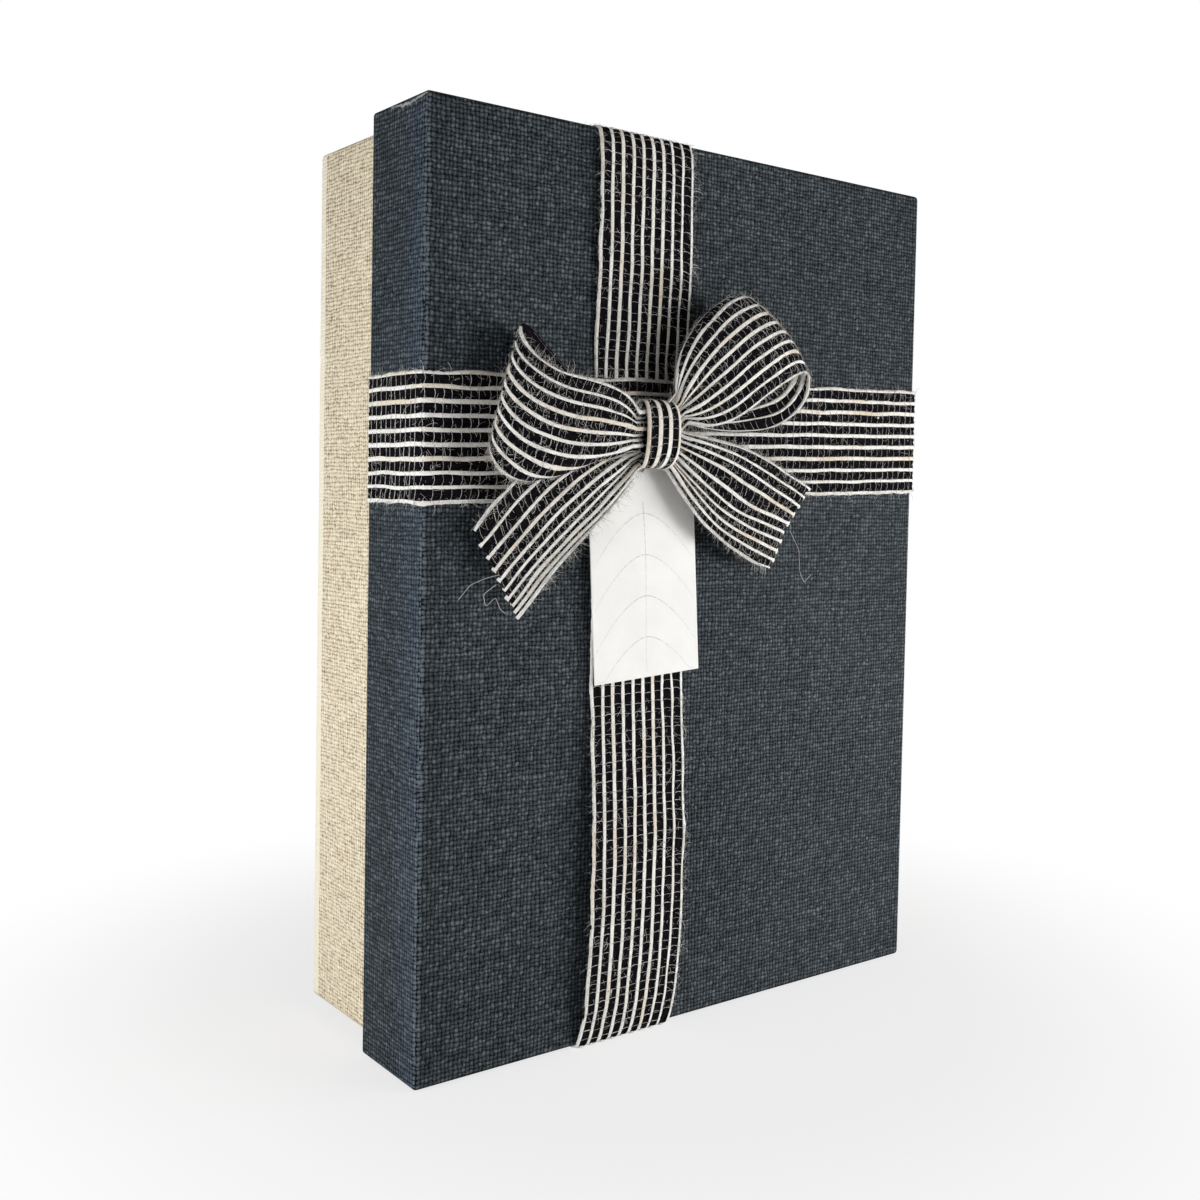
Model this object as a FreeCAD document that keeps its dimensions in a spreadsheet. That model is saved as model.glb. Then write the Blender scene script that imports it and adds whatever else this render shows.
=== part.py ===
import FreeCAD, Part
import math
import os
import Sketcher

# A rigid gift box that stands on one end with its lid facing the viewer. The base and the lid are
# board trays covered in linen paper. Two ribbons cross over the lid, a bow is tied at the crossing,
# and a card tag hangs from the bow on a loop of string.
# Millimetres, +Z up, the lid's face towards -Y. The origin is the middle of the underside of the
# whole object. "Depth" of a ribbon or bow piece is its distance out from the lid's face.

Vector = FreeCAD.Vector
TOWARDS_VIEWER = Vector(0, -1, 0)

SIZES = {
    # the box, over its paper cover
    "lid_width": 220.0,
    "lid_height": 305.0,
    "lid_depth": 35.0,
    "box_depth": 84.0,
    # board, paper and the room between them
    "lid_greyboard": 2.4,
    "base_greyboard": 1.5,
    "cover_paper": 0.3,
    "liner_paper": 0.2,
    "glue_gap": 0.15,
    "board_fold": 0.9,
    "edge_round": 1.65,
    "cover_turn_in": 20.0,
    "stay_leg": 14.0,
    "liner_margin": 1.5,
    # how the lid sits on the base: room beside the ribbons' turned-in ends, and under the lid's top
    "ribbon_play": 0.3,
    "lid_seat": 0.2,
    # the ribbons
    "ribbon_width": 40.0,
    "ribbon_thick": 0.7,
    "ribbon_turn_in": 14.0,
    "ribbon_from_left": 81.7,
    "ribbon_from_top": 100.7,
    "crossing_gap": 0.3,
    "crossing_ramp": 3.0,
    # the bow's middle: a dab of glue, the gathered ribbon and the band round it
    "bow_rise": 0.7,
    "glue_aside": 1.3,
    "glue_radius": 5.5,
    "glue_height": 3.2,
    "knot_width": 14.8,
    "knot_height": 23.0,
    "knot_depth": 9.8,
    "knot_round": 4.5,
    "gather_width": 7.0,
    "gather_gap": 0.15,
    # depths that both loops share
    "loop_peak": 19.0,
    "loop_bend": 11.3,
    "loop_low": 3.9,
    "front_root": 10.6,
    "back_root": 6.7,
    "loop_crown": 1.5,
    "least_crown": 0.4,
    "root_run": 5.0,
    # the left loop
    "left_loop_angle": 168.0,
    "left_loop_rise": -1.2,
    "left_loop_start": 6.0,
    "left_loop_reach": 60.0,
    "left_loop_lean": 1.0,
    "left_loop_fold": 0.5,
    "left_loop_root": 4.0,
    "left_loop_half": 18.0,
    "left_loop_flare": 2.0,
    "left_loop_shift": 11.0,
    # the right loop
    "right_loop_angle": 32.5,
    "right_loop_rise": 1.8,
    "right_loop_start": 6.5,
    "right_loop_reach": 61.0,
    "right_loop_lean": 7.5,
    "right_loop_fold": 4.0,
    "right_loop_root": 1.4,
    "right_loop_half": 18.5,
    "right_loop_flare": 3.2,
    "right_loop_shift": -11.5,
    # depths that both tails share
    "tail_root_depth": 8.2,
    "tail_end_depth": 5.6,
    "tail_belly": 1.5,
    "tail_crown": 0.8,
    # the left tail
    "left_tail_angle": 217.8,
    "left_tail_start": 7.0,
    "left_tail_reach": 76.0,
    "left_tail_cut": -4.8,
    "left_tail_root": 2.6,
    "left_tail_half": 16.0,
    "left_tail_flare": 4.0,
    "left_tail_curl": 2.5,
    "left_tail_pleat": 0.5,
    # the right tail
    "right_tail_angle": -25.5,
    "right_tail_start": 6.5,
    "right_tail_reach": 75.0,
    "right_tail_cut": 4.6,
    "right_tail_root": 4.2,
    "right_tail_half": 17.3,
    "right_tail_flare": 2.0,
    "right_tail_curl": 0.0,
    "right_tail_pleat": 2.2,
    # the tag and its string
    "tag_width": 44.5,
    "tag_length": 74.8,
    "tag_card": 0.5,
    "tag_depth": 3.1,
    "tag_drop": 7.5,
    "tag_tilt": 3.7,
    "tag_hole_radius": 1.6,
    "tag_hole_margin": 3.5,
    "string_radius": 0.35,
    "string_gap": 0.3,
    "string_rear_depth": 2.1,
    "string_front_depth": 5.0,
    "string_end_gap": 0.45,
    "string_settle": 0.05,
    "string_bend": 1.08,
}
LOOP_SECTION_COUNT = 33
TAIL_SECTION_COUNT = 19
STRING_SECTION_COUNT = 6
STRING_SIDE_COUNT = 8

doc = FreeCAD.newDocument("gift_box")
sheet = doc.addObject("Spreadsheet::Sheet", "sizes")
for row, (alias, number) in enumerate(SIZES.items(), start=1):
    sheet.set(f"A{row}", alias)
    sheet.set(f"B{row}", str(number))
    sheet.setAlias(f"B{row}", alias)
doc.recompute()

# Lengths and places that follow from the sheet, as expressions.
SKIN = "(sizes.cover_paper + sizes.glue_gap)"
FRONT = "((sizes.loop_peak + sizes.ribbon_thick / 2 - sizes.box_depth) / 2)"
RIM = f"({FRONT} + sizes.lid_depth)"
BACK = f"({FRONT} + sizes.box_depth)"
LID_BOTTOM = "sizes.ribbon_thick"
LID_TOP = "(sizes.ribbon_thick + sizes.lid_height)"
BASE_INSET = f"(2 * {SKIN} + sizes.lid_greyboard + sizes.ribbon_thick + sizes.ribbon_play)"
BASE_RIM = f"({FRONT} + {SKIN} + sizes.lid_greyboard + sizes.liner_paper + sizes.lid_seat)"
RIBBON_X = "(sizes.ribbon_from_left - sizes.lid_width / 2)"
RIBBON_Z = f"({LID_TOP} - sizes.ribbon_from_top)"
BOW_Z = f"({RIBBON_Z} + sizes.bow_rise)"
HANG_X = f"({RIBBON_X} - sizes.glue_aside)"
KNOT_BACK = "(2 * sizes.ribbon_thick + sizes.glue_height)"
KNOT_MIDDLE = f"({FRONT} - {KNOT_BACK} - sizes.knot_depth / 2)"


def value(expression):
    """The number that an expression on the sheet comes to."""
    return float(sheet.evalExpression(expression))


def size(alias):
    """The number in one cell of the sheet."""
    return value(f"sizes.{alias}")


def place(item, x, y, z):
    """Binds an object's place to three expressions."""
    for axis, expression in zip("xyz", (x, y, z)):
        item.setExpression(f"Placement.Base.{axis}", expression)


def box(name, low, high):
    """A box between two corners, each given as three expressions."""
    item = doc.addObject("Part::Box", name)
    for side, start, end in zip(("Length", "Width", "Height"), low, high):
        item.setExpression(side, f"{end} - {start}")
    place(item, *low)
    return item


def boolean(kind, name, base, tool):
    """Part::Cut, Part::Fuse or Part::Common of two objects."""
    item = doc.addObject(f"Part::{kind}", name)
    item.Base = base
    item.Tool = tool
    return item


def tray(name, inset, outer_y, rim_y):
    """The places that a board tray is built from, as expressions."""
    inward, outward = ("+", "-") if value(rim_y) > value(outer_y) else ("-", "+")
    thick = f"sizes.{name}_greyboard"
    half = f"(sizes.lid_width / 2 - {inset})"
    return {"name": name, "thick": thick, "half": half, "outer": outer_y, "rim": rim_y,
            "bottom": f"({LID_BOTTOM} + {inset})", "top": f"({LID_TOP} - {inset})",
            "wall": f"({half} - {thick})", "floor": f"({outer_y} {inward} {thick})",
            "low": f"({LID_BOTTOM} + {inset} + {thick})", "high": f"({LID_TOP} - {inset} - {thick})",
            "inward": inward, "outward": outward}


def block(name, part, growth, ease, amount):
    """A tray's block grown by a distance, eased by Fillet or Chamfer on every edge but the rim's."""
    half = f"({part['half']} + {growth})"
    outer_y = f"({part['outer']} {part['outward']} {growth})"
    rim_y = f"({part['rim']} {part['inward']} {growth})"
    low_y, high_y = sorted((outer_y, rim_y), key=value)
    low = (f"-{half}", low_y, f"({part['bottom']} - {growth})")
    high = (half, high_y, f"({part['top']} + {growth})")
    sharp = box(f"{name}_sharp", low, high)
    doc.recompute()
    rim = value(rim_y)
    eased = doc.addObject(f"Part::{ease}", f"{name}_eased")
    eased.Base = sharp
    eased.Edges = [
        (number, amount, amount)
        for number, edge in enumerate(sharp.Shape.Edges, start=1)
        if any(abs(vertex.Point.y - rim) > amount for vertex in edge.Vertexes)
    ]
    return eased


def hollow(name, part, growth):
    """A tray's hollow, made smaller by a growth of the tray, and running out past the rim."""
    wall = f"({part['wall']} - {growth})"
    floor_y = f"({part['floor']} {part['inward']} {growth})"
    past_y = f"({part['rim']} {part['inward']} {part['thick']} {part['inward']} {growth})"
    low_y, high_y = sorted((floor_y, past_y), key=value)
    return box(name, (f"-{wall}", low_y, f"({part['low']} + {growth})"),
               (wall, high_y, f"({part['high']} - {growth})"))


def layer(name, part, growth, ease, amount):
    """A tray grown by a distance all over."""
    outside = block(name, part, growth, ease, amount)
    return boolean("Cut", name, outside, hollow(f"{name}_hollow", part, growth))


def fold_at(growth):
    """The chamfer at a folded edge that keeps an even distance from the board's own."""
    return size("board_fold") + value(growth) * (2 - math.sqrt(2))


def inside(name, part, from_floor, to_rim):
    """A box that fills a tray's hollow between two distances, from its floor and from its rim."""
    near = f"({part['floor']} {part['inward']} {from_floor})"
    far = f"({part['rim']} {part['outward']} {to_rim})"
    low_y, high_y = sorted((near, far), key=value)
    return box(name, (f"-{part['wall']}", low_y, part["low"]), (part["wall"], high_y, part["high"]))


def cover(part):
    """The paper cover: a skin round the board, turned in over the rim and stopping inside."""
    name = part["name"]
    glued = layer(f"{name}_glued", part, "sizes.glue_gap", "Chamfer", fold_at("sizes.glue_gap"))
    covered = layer(f"{name}_covered", part, SKIN, "Fillet", size("edge_round"))
    skin = boolean("Cut", f"{name}_skin", covered, glued)
    clear = inside(f"{name}_clear", part, "0", "sizes.cover_turn_in")
    return covered, boolean("Cut", f"{name}_wrap", skin, clear)


def corner_stays(part):
    """Four strips of paper tape, one folded round each corner of a tray's walls under its cover."""
    name = part["name"]
    bare = block(f"{name}_stay_inner", part, "0", "Chamfer", fold_at("0"))
    taped = block(f"{name}_stay_outer", part, "sizes.glue_gap", "Chamfer", fold_at("sizes.glue_gap"))
    shell = boolean("Cut", f"{name}_stay_shell", taped, bare)
    low_y, high_y = sorted((part["floor"], part["rim"]), key=value)
    half = part["half"]
    wide = ((f"(-{half} - sizes.glue_gap)", f"(-{half} + sizes.stay_leg)"),
            (f"({half} - sizes.stay_leg)", f"({half} + sizes.glue_gap)"))
    tall = ((f"({part['bottom']} - sizes.glue_gap)", f"({part['bottom']} + sizes.stay_leg)"),
            (f"({part['top']} - sizes.stay_leg)", f"({part['top']} + sizes.glue_gap)"))
    corners = doc.addObject("Part::MultiFuse", f"{name}_stay_corners")
    corners.Shapes = [
        box(f"{name}_stay_corner", (x[0], low_y, z[0]), (x[1], high_y, z[1]))
        for x in wide
        for z in tall
    ]
    return boolean("Common", f"{name}_corner_stays", shell, corners)


def floor_liner(part):
    """A sheet of lining paper on a tray's inner floor."""
    far = f"({part['floor']} {part['inward']} sizes.liner_paper)"
    low_y, high_y = sorted((part["floor"], far), key=value)
    across = f"({part['wall']} - sizes.liner_margin)"
    return box(f"{part['name']}_floor_liner", (f"-{across}", low_y, f"({part['low']} + sizes.liner_margin)"),
               (across, high_y, f"({part['high']} - sizes.liner_margin)"))


def wall_liner(part):
    """A strip of lining paper round a tray's inner walls, from its floor sheet to the cover's edge."""
    start = "(sizes.liner_paper + sizes.glue_gap)"
    stop = "(sizes.cover_turn_in + sizes.glue_gap)"
    strip = inside(f"{part['name']}_liner_block", part, start, stop)
    room = hollow(f"{part['name']}_liner_room", part, "sizes.liner_paper")
    return boolean("Cut", f"{part['name']}_wall_liner", strip, room)


def ribbons(part, covered):
    """The two ribbons round the lid, ends turned in over its rim; the level one passes on top."""
    over = f"({SKIN} + sizes.ribbon_thick)"
    bound = layer("ribbon_bound", part, over, "Fillet", size("edge_round") + size("ribbon_thick"))
    skin = boolean("Cut", "ribbon_skin", bound, covered)
    clear = inside("ribbon_clear", part, "0", "sizes.ribbon_turn_in")
    band = boolean("Cut", "ribbon_band", skin, clear)
    half = "sizes.ribbon_width / 2"
    reach = "sizes.lid_width"
    upright = box("upright_slab",
                  (f"({RIBBON_X} - {half})", f"({FRONT} - {reach})", f"(-{reach})"),
                  (f"({RIBBON_X} + {half})", f"({RIM} + {reach})", f"({LID_TOP} + {reach})"))
    level = box("level_slab",
                (f"(-{reach})", f"({FRONT} - {reach})", f"({RIBBON_Z} - {half})"),
                (reach, f"({RIM} + {reach})", f"({RIBBON_Z} + {half})"))
    vertical = boolean("Common", "ribbon_vertical", band, upright)
    flat = boolean("Common", "ribbon_flat", band, level)
    rise = crossing_wedge("crossing_rise", f"({FRONT} - sizes.ribbon_thick)")
    room = crossing_wedge("crossing_room", FRONT)
    raised = boolean("Fuse", "ribbon_raised", flat, rise)
    return vertical, boolean("Cut", "ribbon_horizontal", raised, room)


def crossing_wedge(name, lid_side):
    """The sloped step of one ribbon over the other: wide at lid_side, narrow one thickness out."""
    narrow = "(sizes.ribbon_width / 2 + sizes.crossing_gap)"
    wide = f"({narrow} + sizes.crossing_ramp)"
    item = doc.addObject("Part::Wedge", name)
    bounds = {"Xmin": f"-{narrow}", "Xmax": narrow, "X2min": f"-{wide}", "X2max": wide,
              "Ymin": "0", "Ymax": "sizes.ribbon_thick",
              "Zmin": "-sizes.ribbon_width / 2", "Zmax": "sizes.ribbon_width / 2",
              "Z2min": "-sizes.ribbon_width / 2", "Z2max": "sizes.ribbon_width / 2"}
    for side, expression in bounds.items():
        item.setExpression(side, expression)
    place(item, RIBBON_X, f"{lid_side} - sizes.ribbon_thick", RIBBON_Z)
    return item


def rectangle(body, plane, name, across, up):
    """A sketch of a rectangle about the origin of one of a body's own planes."""
    sketch = body.newObject("Sketcher::SketchObject", name)
    support = [item for item in body.Origin.OriginFeatures if item.Role == plane]
    sketch.AttachmentSupport = [(support[0], "")]
    sketch.MapMode = "FlatFace"
    half_across = value(across) / 2
    half_up = value(up) / 2
    corners = [Vector(-half_across, -half_up, 0), Vector(half_across, -half_up, 0),
               Vector(half_across, half_up, 0), Vector(-half_across, half_up, 0)]
    for index in range(4):
        sketch.addGeometry(Part.LineSegment(corners[index], corners[(index + 1) % 4]), False)
    for index in range(4):
        sketch.addConstraint(Sketcher.Constraint("Coincident", index, 2, (index + 1) % 4, 1))
    for index in (0, 2):
        sketch.addConstraint(Sketcher.Constraint("Horizontal", index))
    for index in (1, 3):
        sketch.addConstraint(Sketcher.Constraint("Vertical", index))
    sketch.addConstraint(Sketcher.Constraint("Symmetric", 0, 1, 2, 1, -1, 1))
    for kind, line, name_of_size, expression in (("DistanceX", 0, "across", across),
                                                 ("DistanceY", 1, "up", up)):
        number = sketch.addConstraint(Sketcher.Constraint(kind, line, 1, line, 2, value(expression)))
        sketch.renameConstraint(number, name_of_size)
        sketch.setExpression(f"Constraints.{name_of_size}", expression)
    return sketch


def padded(body, sketch, length):
    """A pad of a sketch, half its length to each side of the sketch's plane."""
    pad = body.newObject("PartDesign::Pad", "pad")
    pad.Profile = sketch
    pad.SideType = "Symmetric"
    pad.setExpression("Length", length)
    doc.recompute()
    return pad


def edges_along_x(shape):
    """Names of a block's edges that run along X."""
    names = []
    for number, edge in enumerate(shape.Edges, start=1):
        run = edge.Vertexes[-1].Point - edge.Vertexes[0].Point
        if abs(run.x) > abs(run.y) + abs(run.z):
            names.append(f"Edge{number}")
    return names


def rounded_bar(name, width, depth, height, radius):
    """A bar along X with its four long edges rounded, about the middle of the knot."""
    body = doc.addObject("PartDesign::Body", name)
    pad = padded(body, rectangle(body, "YZ_Plane", "section", depth, height), width)
    fillet = body.newObject("PartDesign::Fillet", "rounding")
    fillet.Base = (pad, edges_along_x(pad.Shape))
    fillet.setExpression("Radius", radius)
    doc.recompute()
    place(body, RIBBON_X, KNOT_MIDDLE, BOW_Z)
    return body


def knot():
    """The short band of ribbon wrapped round the bow's middle, open at its two sides."""
    body = rounded_bar("bow_knot", "sizes.knot_width", "sizes.knot_depth", "sizes.knot_height",
                       "sizes.knot_round")
    solid = body.Tip
    sides = [f"Face{number}" for number, face in enumerate(solid.Shape.Faces, start=1)
             if abs(face.normalAt(0, 0).x) > abs(face.normalAt(0, 0).y) + abs(face.normalAt(0, 0).z)]
    shell = body.newObject("PartDesign::Thickness", "band")
    shell.Base = (solid, sides)
    shell.Reversed = True
    shell.setExpression("Value", "sizes.ribbon_thick")
    doc.recompute()
    return body


def gather():
    """The pinched middle of the bow's ribbon, inside the knot."""
    room = "2 * (sizes.ribbon_thick + sizes.gather_gap)"
    return rounded_bar("bow_gather", "sizes.gather_width", f"sizes.knot_depth - {room}",
                       f"sizes.knot_height - {room}",
                       "sizes.knot_round - sizes.ribbon_thick - sizes.gather_gap")


def glue_dab():
    """The dab of glue that holds the bow to the ribbons' crossing; the tag's string hangs on it."""
    item = doc.addObject("Part::Cylinder", "bow_glue")
    item.setExpression("Radius", "sizes.glue_radius")
    item.setExpression("Height", "sizes.glue_height")
    item.Placement.Rotation = FreeCAD.Rotation(Vector(0, 0, 1), TOWARDS_VIEWER)
    place(item, HANG_X, f"{FRONT} - 2 * sizes.ribbon_thick", BOW_Z)
    return item


def bow_point(form, along, cross, depth):
    """A point of the bow, from its distances along and across a piece's axis and its depth."""
    angle = math.radians(form["angle"])
    upwards = 1 if math.cos(angle) > 0 else -1
    x = value(RIBBON_X) + along * math.cos(angle) - upwards * cross * math.sin(angle)
    z = value(BOW_Z) + form.get("rise", 0) + along * math.sin(angle) + upwards * cross * math.cos(angle)
    return Vector(x, value(FRONT) - depth, z)


def loop_depth(turn):
    """Depth of a loop's middle line: out over a peak, round the bend and back over a low."""
    front = turn <= math.pi / 2
    root = size("front_root") if front else size("back_root")
    edge_peak = size("loop_peak") - size("loop_crown") - size("least_crown")
    extreme = edge_peak if front else size("loop_low")
    bend = size("loop_bend")
    level = root + (bend - root) * math.sin(turn) ** 2
    return level + (extreme - (root + bend) / 2) * abs(math.sin(2 * turn))


def half_width(form, along):
    """Half a bow piece's width: narrow while it is in the knot, then flaring to the ribbon's own."""
    free = form["reach"] - form["start"] - size("root_run")
    out = min(max(along - form["start"] - size("root_run"), 0) / free, 1)
    return form["root"] + (form["half"] - form["root"]) * (1 - (1 - out) ** form["flare"])


def loop_point(form, turn, across):
    """A point of a loop: turn runs 0 to pi round it, across runs -1 at its top edge to 1."""
    out = math.sin(turn)
    reach = form["reach"] + form["lean"] * across + form["fold"] * (1 - across ** 2)
    along = form["start"] + (reach - form["start"]) * out
    cross = -across * half_width(form, along) - form["shift"] * math.sin(2 * turn) * out
    return bow_point(form, along, cross, loop_depth(turn))


def strip_section(edge_points, normal, crown):
    """A closed outline across a ribbon: arcs between its points on both faces, and two edges."""
    step = normal * (size("ribbon_thick") / 2)
    pairs = list(zip(edge_points[:-1], edge_points[1:]))
    middles = [(start + end) / 2 + normal * crown for start, end in pairs]
    outer = [Part.Arc(start + step, middle + step, end + step).toShape()
             for (start, end), middle in zip(pairs, middles)]
    inner = [Part.Arc(end - step, middle - step, start - step).toShape()
             for (start, end), middle in zip(pairs, middles)]
    first, last = edge_points[0], edge_points[-1]
    far_edge = Part.LineSegment(last + step, last - step).toShape()
    near_edge = Part.LineSegment(first - step, first + step).toShape()
    return Part.Wire(outer + [far_edge] + inner[::-1] + [near_edge])


def form_of(prefix, keys):
    """One loop's or tail's own sizes, by their plain names."""
    return {key: size(f"{prefix}_{key}") for key in keys}


def bow_loop(side):
    """A loop of the bow: the ribbon leaves the knot, bends round and comes back behind."""
    form = form_of(f"{side}_loop", ("angle", "rise", "start", "reach", "lean", "fold", "root", "half",
                                    "flare", "shift"))
    turns = [math.pi * index / (LOOP_SECTION_COUNT - 1) for index in range(LOOP_SECTION_COUNT)]
    nudge = math.pi / (LOOP_SECTION_COUNT * LOOP_SECTION_COUNT)
    sections = []
    facing = None
    for turn in turns:
        top = loop_point(form, turn, -1)
        low = loop_point(form, turn, 1)
        ahead = loop_point(form, min(turn + nudge, math.pi), 0)
        behind = loop_point(form, max(turn - nudge, 0), 0)
        normal = (ahead - behind).cross(low - top).normalize()
        if facing is None:
            facing = 1 if normal.dot(TOWARDS_VIEWER) > 0 else -1
        spread = (low - top).Length / (2 * form["half"])
        bulge = size("loop_crown") * max(math.sin(2 * turn), 0) + size("least_crown")
        sections.append(strip_section([top, low], normal * facing, bulge * spread))
    item = doc.addObject("Part::Feature", f"bow_loop_{side}")
    item.Shape = Part.makeLoft(sections, True, True)
    return item


def tail_point(form, step, across):
    """A point of a tail: step runs 0 at the knot to 1 at the cut end, across -1 to 1."""
    along = form["start"] + (form["reach"] - form["start"]) * step
    half = half_width(form, along)
    along -= form["cut"] * across * step / 2
    wave = math.sin(math.pi * step)
    depth = size("tail_root_depth") + (size("tail_end_depth") - size("tail_root_depth")) * step
    depth += size("tail_belly") * wave + form["curl"] * max(across, 0) ** 2 * step
    depth -= form["pleat"] * (1 - abs(across))
    return bow_point(form, along, -across * half, depth)


def bow_tail(side):
    """A tail of the bow: the ribbon leaves the knot, spreads, and ends in a slanted cut."""
    form = form_of(f"{side}_tail", ("angle", "start", "reach", "cut", "root", "half", "flare", "curl",
                                    "pleat"))
    sections = []
    for index in range(TAIL_SECTION_COUNT):
        step = index / (TAIL_SECTION_COUNT - 1)
        points = [tail_point(form, step, across) for across in (-1, 0, 1)]
        spread = (points[-1] - points[0]).Length / (2 * form["half"])
        sections.append(strip_section(points, TOWARDS_VIEWER, size("tail_crown") * spread))
    item = doc.addObject("Part::Feature", f"bow_tail_{side}")
    item.Shape = Part.makeLoft(sections, True, True)
    return item


def tag_card():
    """The card of the tag, with its string hole, hanging at a slight tilt."""
    body = doc.addObject("PartDesign::Body", "tag_card")
    sketch = rectangle(body, "XZ_Plane", "outline", "sizes.tag_width", "sizes.tag_length")
    hole = sketch.addGeometry(Part.Circle(Vector(0, size("tag_length") / 2 - size("tag_hole_margin"), 0),
                                          Vector(0, 0, 1), size("tag_hole_radius")), False)
    sketch.addConstraint(Sketcher.Constraint("PointOnObject", hole, 3, -2))
    drop = "(sizes.tag_length / 2 - sizes.tag_hole_margin)"
    for kind, entities, name_of_size, expression in (
            ("DistanceY", (-1, 1, hole, 3), "hole_up", drop),
            ("Radius", (hole,), "hole_radius", "sizes.tag_hole_radius")):
        number = sketch.addConstraint(Sketcher.Constraint(kind, *entities, value(expression)))
        sketch.renameConstraint(number, name_of_size)
        sketch.setExpression(f"Constraints.{name_of_size}", expression)
    padded(body, sketch, "sizes.tag_card")
    hang = "(sizes.tag_drop + sizes.tag_length / 2)"
    tilt = "sizes.tag_tilt * 1deg"
    body.Placement.Rotation = FreeCAD.Rotation(TOWARDS_VIEWER, size("tag_tilt"))
    place(body, f"{HANG_X} + {hang} * sin({tilt})", f"{FRONT} - sizes.tag_depth + sizes.tag_card / 2",
          f"{BOW_Z} - {hang} * cos({tilt})")
    return body


def bent_path(points, radii):
    """Straight runs through points, joined by a tangent arc of each radius at the inner ones."""
    edges = []
    last = points[0]
    for before, corner, after, radius in zip(points[:-2], points[1:-1], points[2:], radii):
        back = (before - corner).normalize()
        ahead = (after - corner).normalize()
        half_angle = back.getAngle(ahead) / 2
        run = radius / math.tan(half_angle)
        start = corner + back * run
        end = corner + ahead * run
        bisector = (back + ahead).normalize()
        middle = corner + bisector * (radius / math.sin(half_angle) - radius)
        edges.append(Part.LineSegment(last, start).toShape())
        edges.append(Part.Arc(start, middle, end).toShape())
        last = end
    edges.append(Part.LineSegment(last, points[-1]).toShape())
    return edges


def cord_loft(runs, radius):
    """An eight-sided bar along straight and circular edges, each section turned the least."""
    aside = TOWARDS_VIEWER
    sections = []
    for run in runs:
        steps = STRING_SECTION_COUNT if isinstance(run.Curve, Part.Circle) else 1
        first = 1 if sections else 0
        for step in range(first, steps + 1):
            at = run.FirstParameter + (run.LastParameter - run.FirstParameter) * step / steps
            ahead = run.tangentAt(at)
            aside = (aside - ahead * aside.dot(ahead)).normalize()
            sections.append(cord_section(run.valueAt(at), aside * radius, ahead.cross(aside) * radius))
    return Part.makeLoft(sections, True, True)


def cord_section(centre, aside, up):
    """A polygon about a centre, from two radii at right angles."""
    angles = [2 * math.pi * index / STRING_SIDE_COUNT for index in range(STRING_SIDE_COUNT + 1)]
    return Part.makePolygon([centre + aside * math.cos(angle) + up * math.sin(angle) for angle in angles])


def tag_string():
    """The tag's string: over the glue dab, down behind the card, through its hole and up in front."""
    thick = size("string_radius")
    ring = size("glue_radius") + size("string_gap") + thick
    rear = -size("string_rear_depth")
    front = -size("string_front_depth")
    hole_top = -size("tag_drop") - size("tag_hole_margin") + size("tag_hole_radius")
    turn_at = hole_top - size("string_gap") - thick
    lowest = Vector(0, rear, turn_at)
    leave = math.asin(ring / -turn_at)
    parting = size("string_end_gap") / (2 * ring)

    def on_ring(angle):
        return Vector(ring * math.cos(angle), rear, ring * math.sin(angle))

    right_end = on_ring(-leave)
    left_end = on_ring(math.pi + leave)
    right_tie = math.pi / 2 - parting
    left_tie = math.pi / 2 + parting
    right_arc = Part.Arc(on_ring(right_tie), on_ring((right_tie - leave) / 2), right_end).toShape()
    left_middle = on_ring((math.pi + leave + left_tie) / 2)
    left_arc = Part.Arc(left_end, left_middle, on_ring(left_tie)).toShape()
    settle = left_end + (lowest - left_end) * size("string_settle")
    through = Vector(0, front, turn_at)
    bend = size("string_bend")
    runs = bent_path([right_end, lowest, through, settle, left_end], [bend, bend, ring])
    runs = [right_arc] + runs + [left_arc]
    length = sum(run.Length for run in runs)
    item = doc.addObject("Part::Feature", "tag_string")
    item.Shape = cord_loft(runs, thick)
    item.Placement = FreeCAD.Placement(Vector(value(HANG_X), value(FRONT), value(BOW_Z)),
                                       FreeCAD.Rotation(TOWARDS_VIEWER, size("tag_tilt")))
    print(f"string length {length:.1f} mm, volume {item.Shape.Volume:.2f} mm3")
    return item


lid = tray("lid", SKIN, f"({FRONT} + {SKIN})", f"({RIM} - {SKIN})")
base = tray("base", f"({BASE_INSET} + {SKIN})", f"({BACK} - {SKIN})", f"({BASE_RIM} + {SKIN})")
lid_covered, lid_wrap = cover(lid)
_, base_wrap = cover(base)
ribbon_vertical, ribbon_horizontal = ribbons(lid, lid_covered)

nodes = {
    "base_board": layer("base_board", base, "0", "Chamfer", fold_at("0")),
    "base_corner_stays": corner_stays(base),
    "base_wrap": base_wrap,
    "base_floor_liner": floor_liner(base),
    "base_wall_liner": wall_liner(base),
    "lid_board": layer("lid_board", lid, "0", "Chamfer", fold_at("0")),
    "lid_corner_stays": corner_stays(lid),
    "lid_wrap": lid_wrap,
    "lid_floor_liner": floor_liner(lid),
    "ribbon_vertical": ribbon_vertical,
    "ribbon_horizontal": ribbon_horizontal,
    "bow_glue": glue_dab(),
    "bow_gather": gather(),
    "bow_knot": knot(),
    "bow_loop_left": bow_loop("left"),
    "bow_loop_right": bow_loop("right"),
    "bow_tail_left": bow_tail("left"),
    "bow_tail_right": bow_tail("right"),
    "tag_card": tag_card(),
    "tag_string": tag_string(),
}
doc.recompute()

for item in doc.Objects:
    if "Invalid" in item.State or "Error" in item.State:
        raise RuntimeError(f"{item.Name} failed: {item.State}")
for node, item in nodes.items():
    item.Label = node
    if item.Shape.isNull() or not item.Shape.isValid():
        raise RuntimeError(f"{node} has no valid shape")

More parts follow.
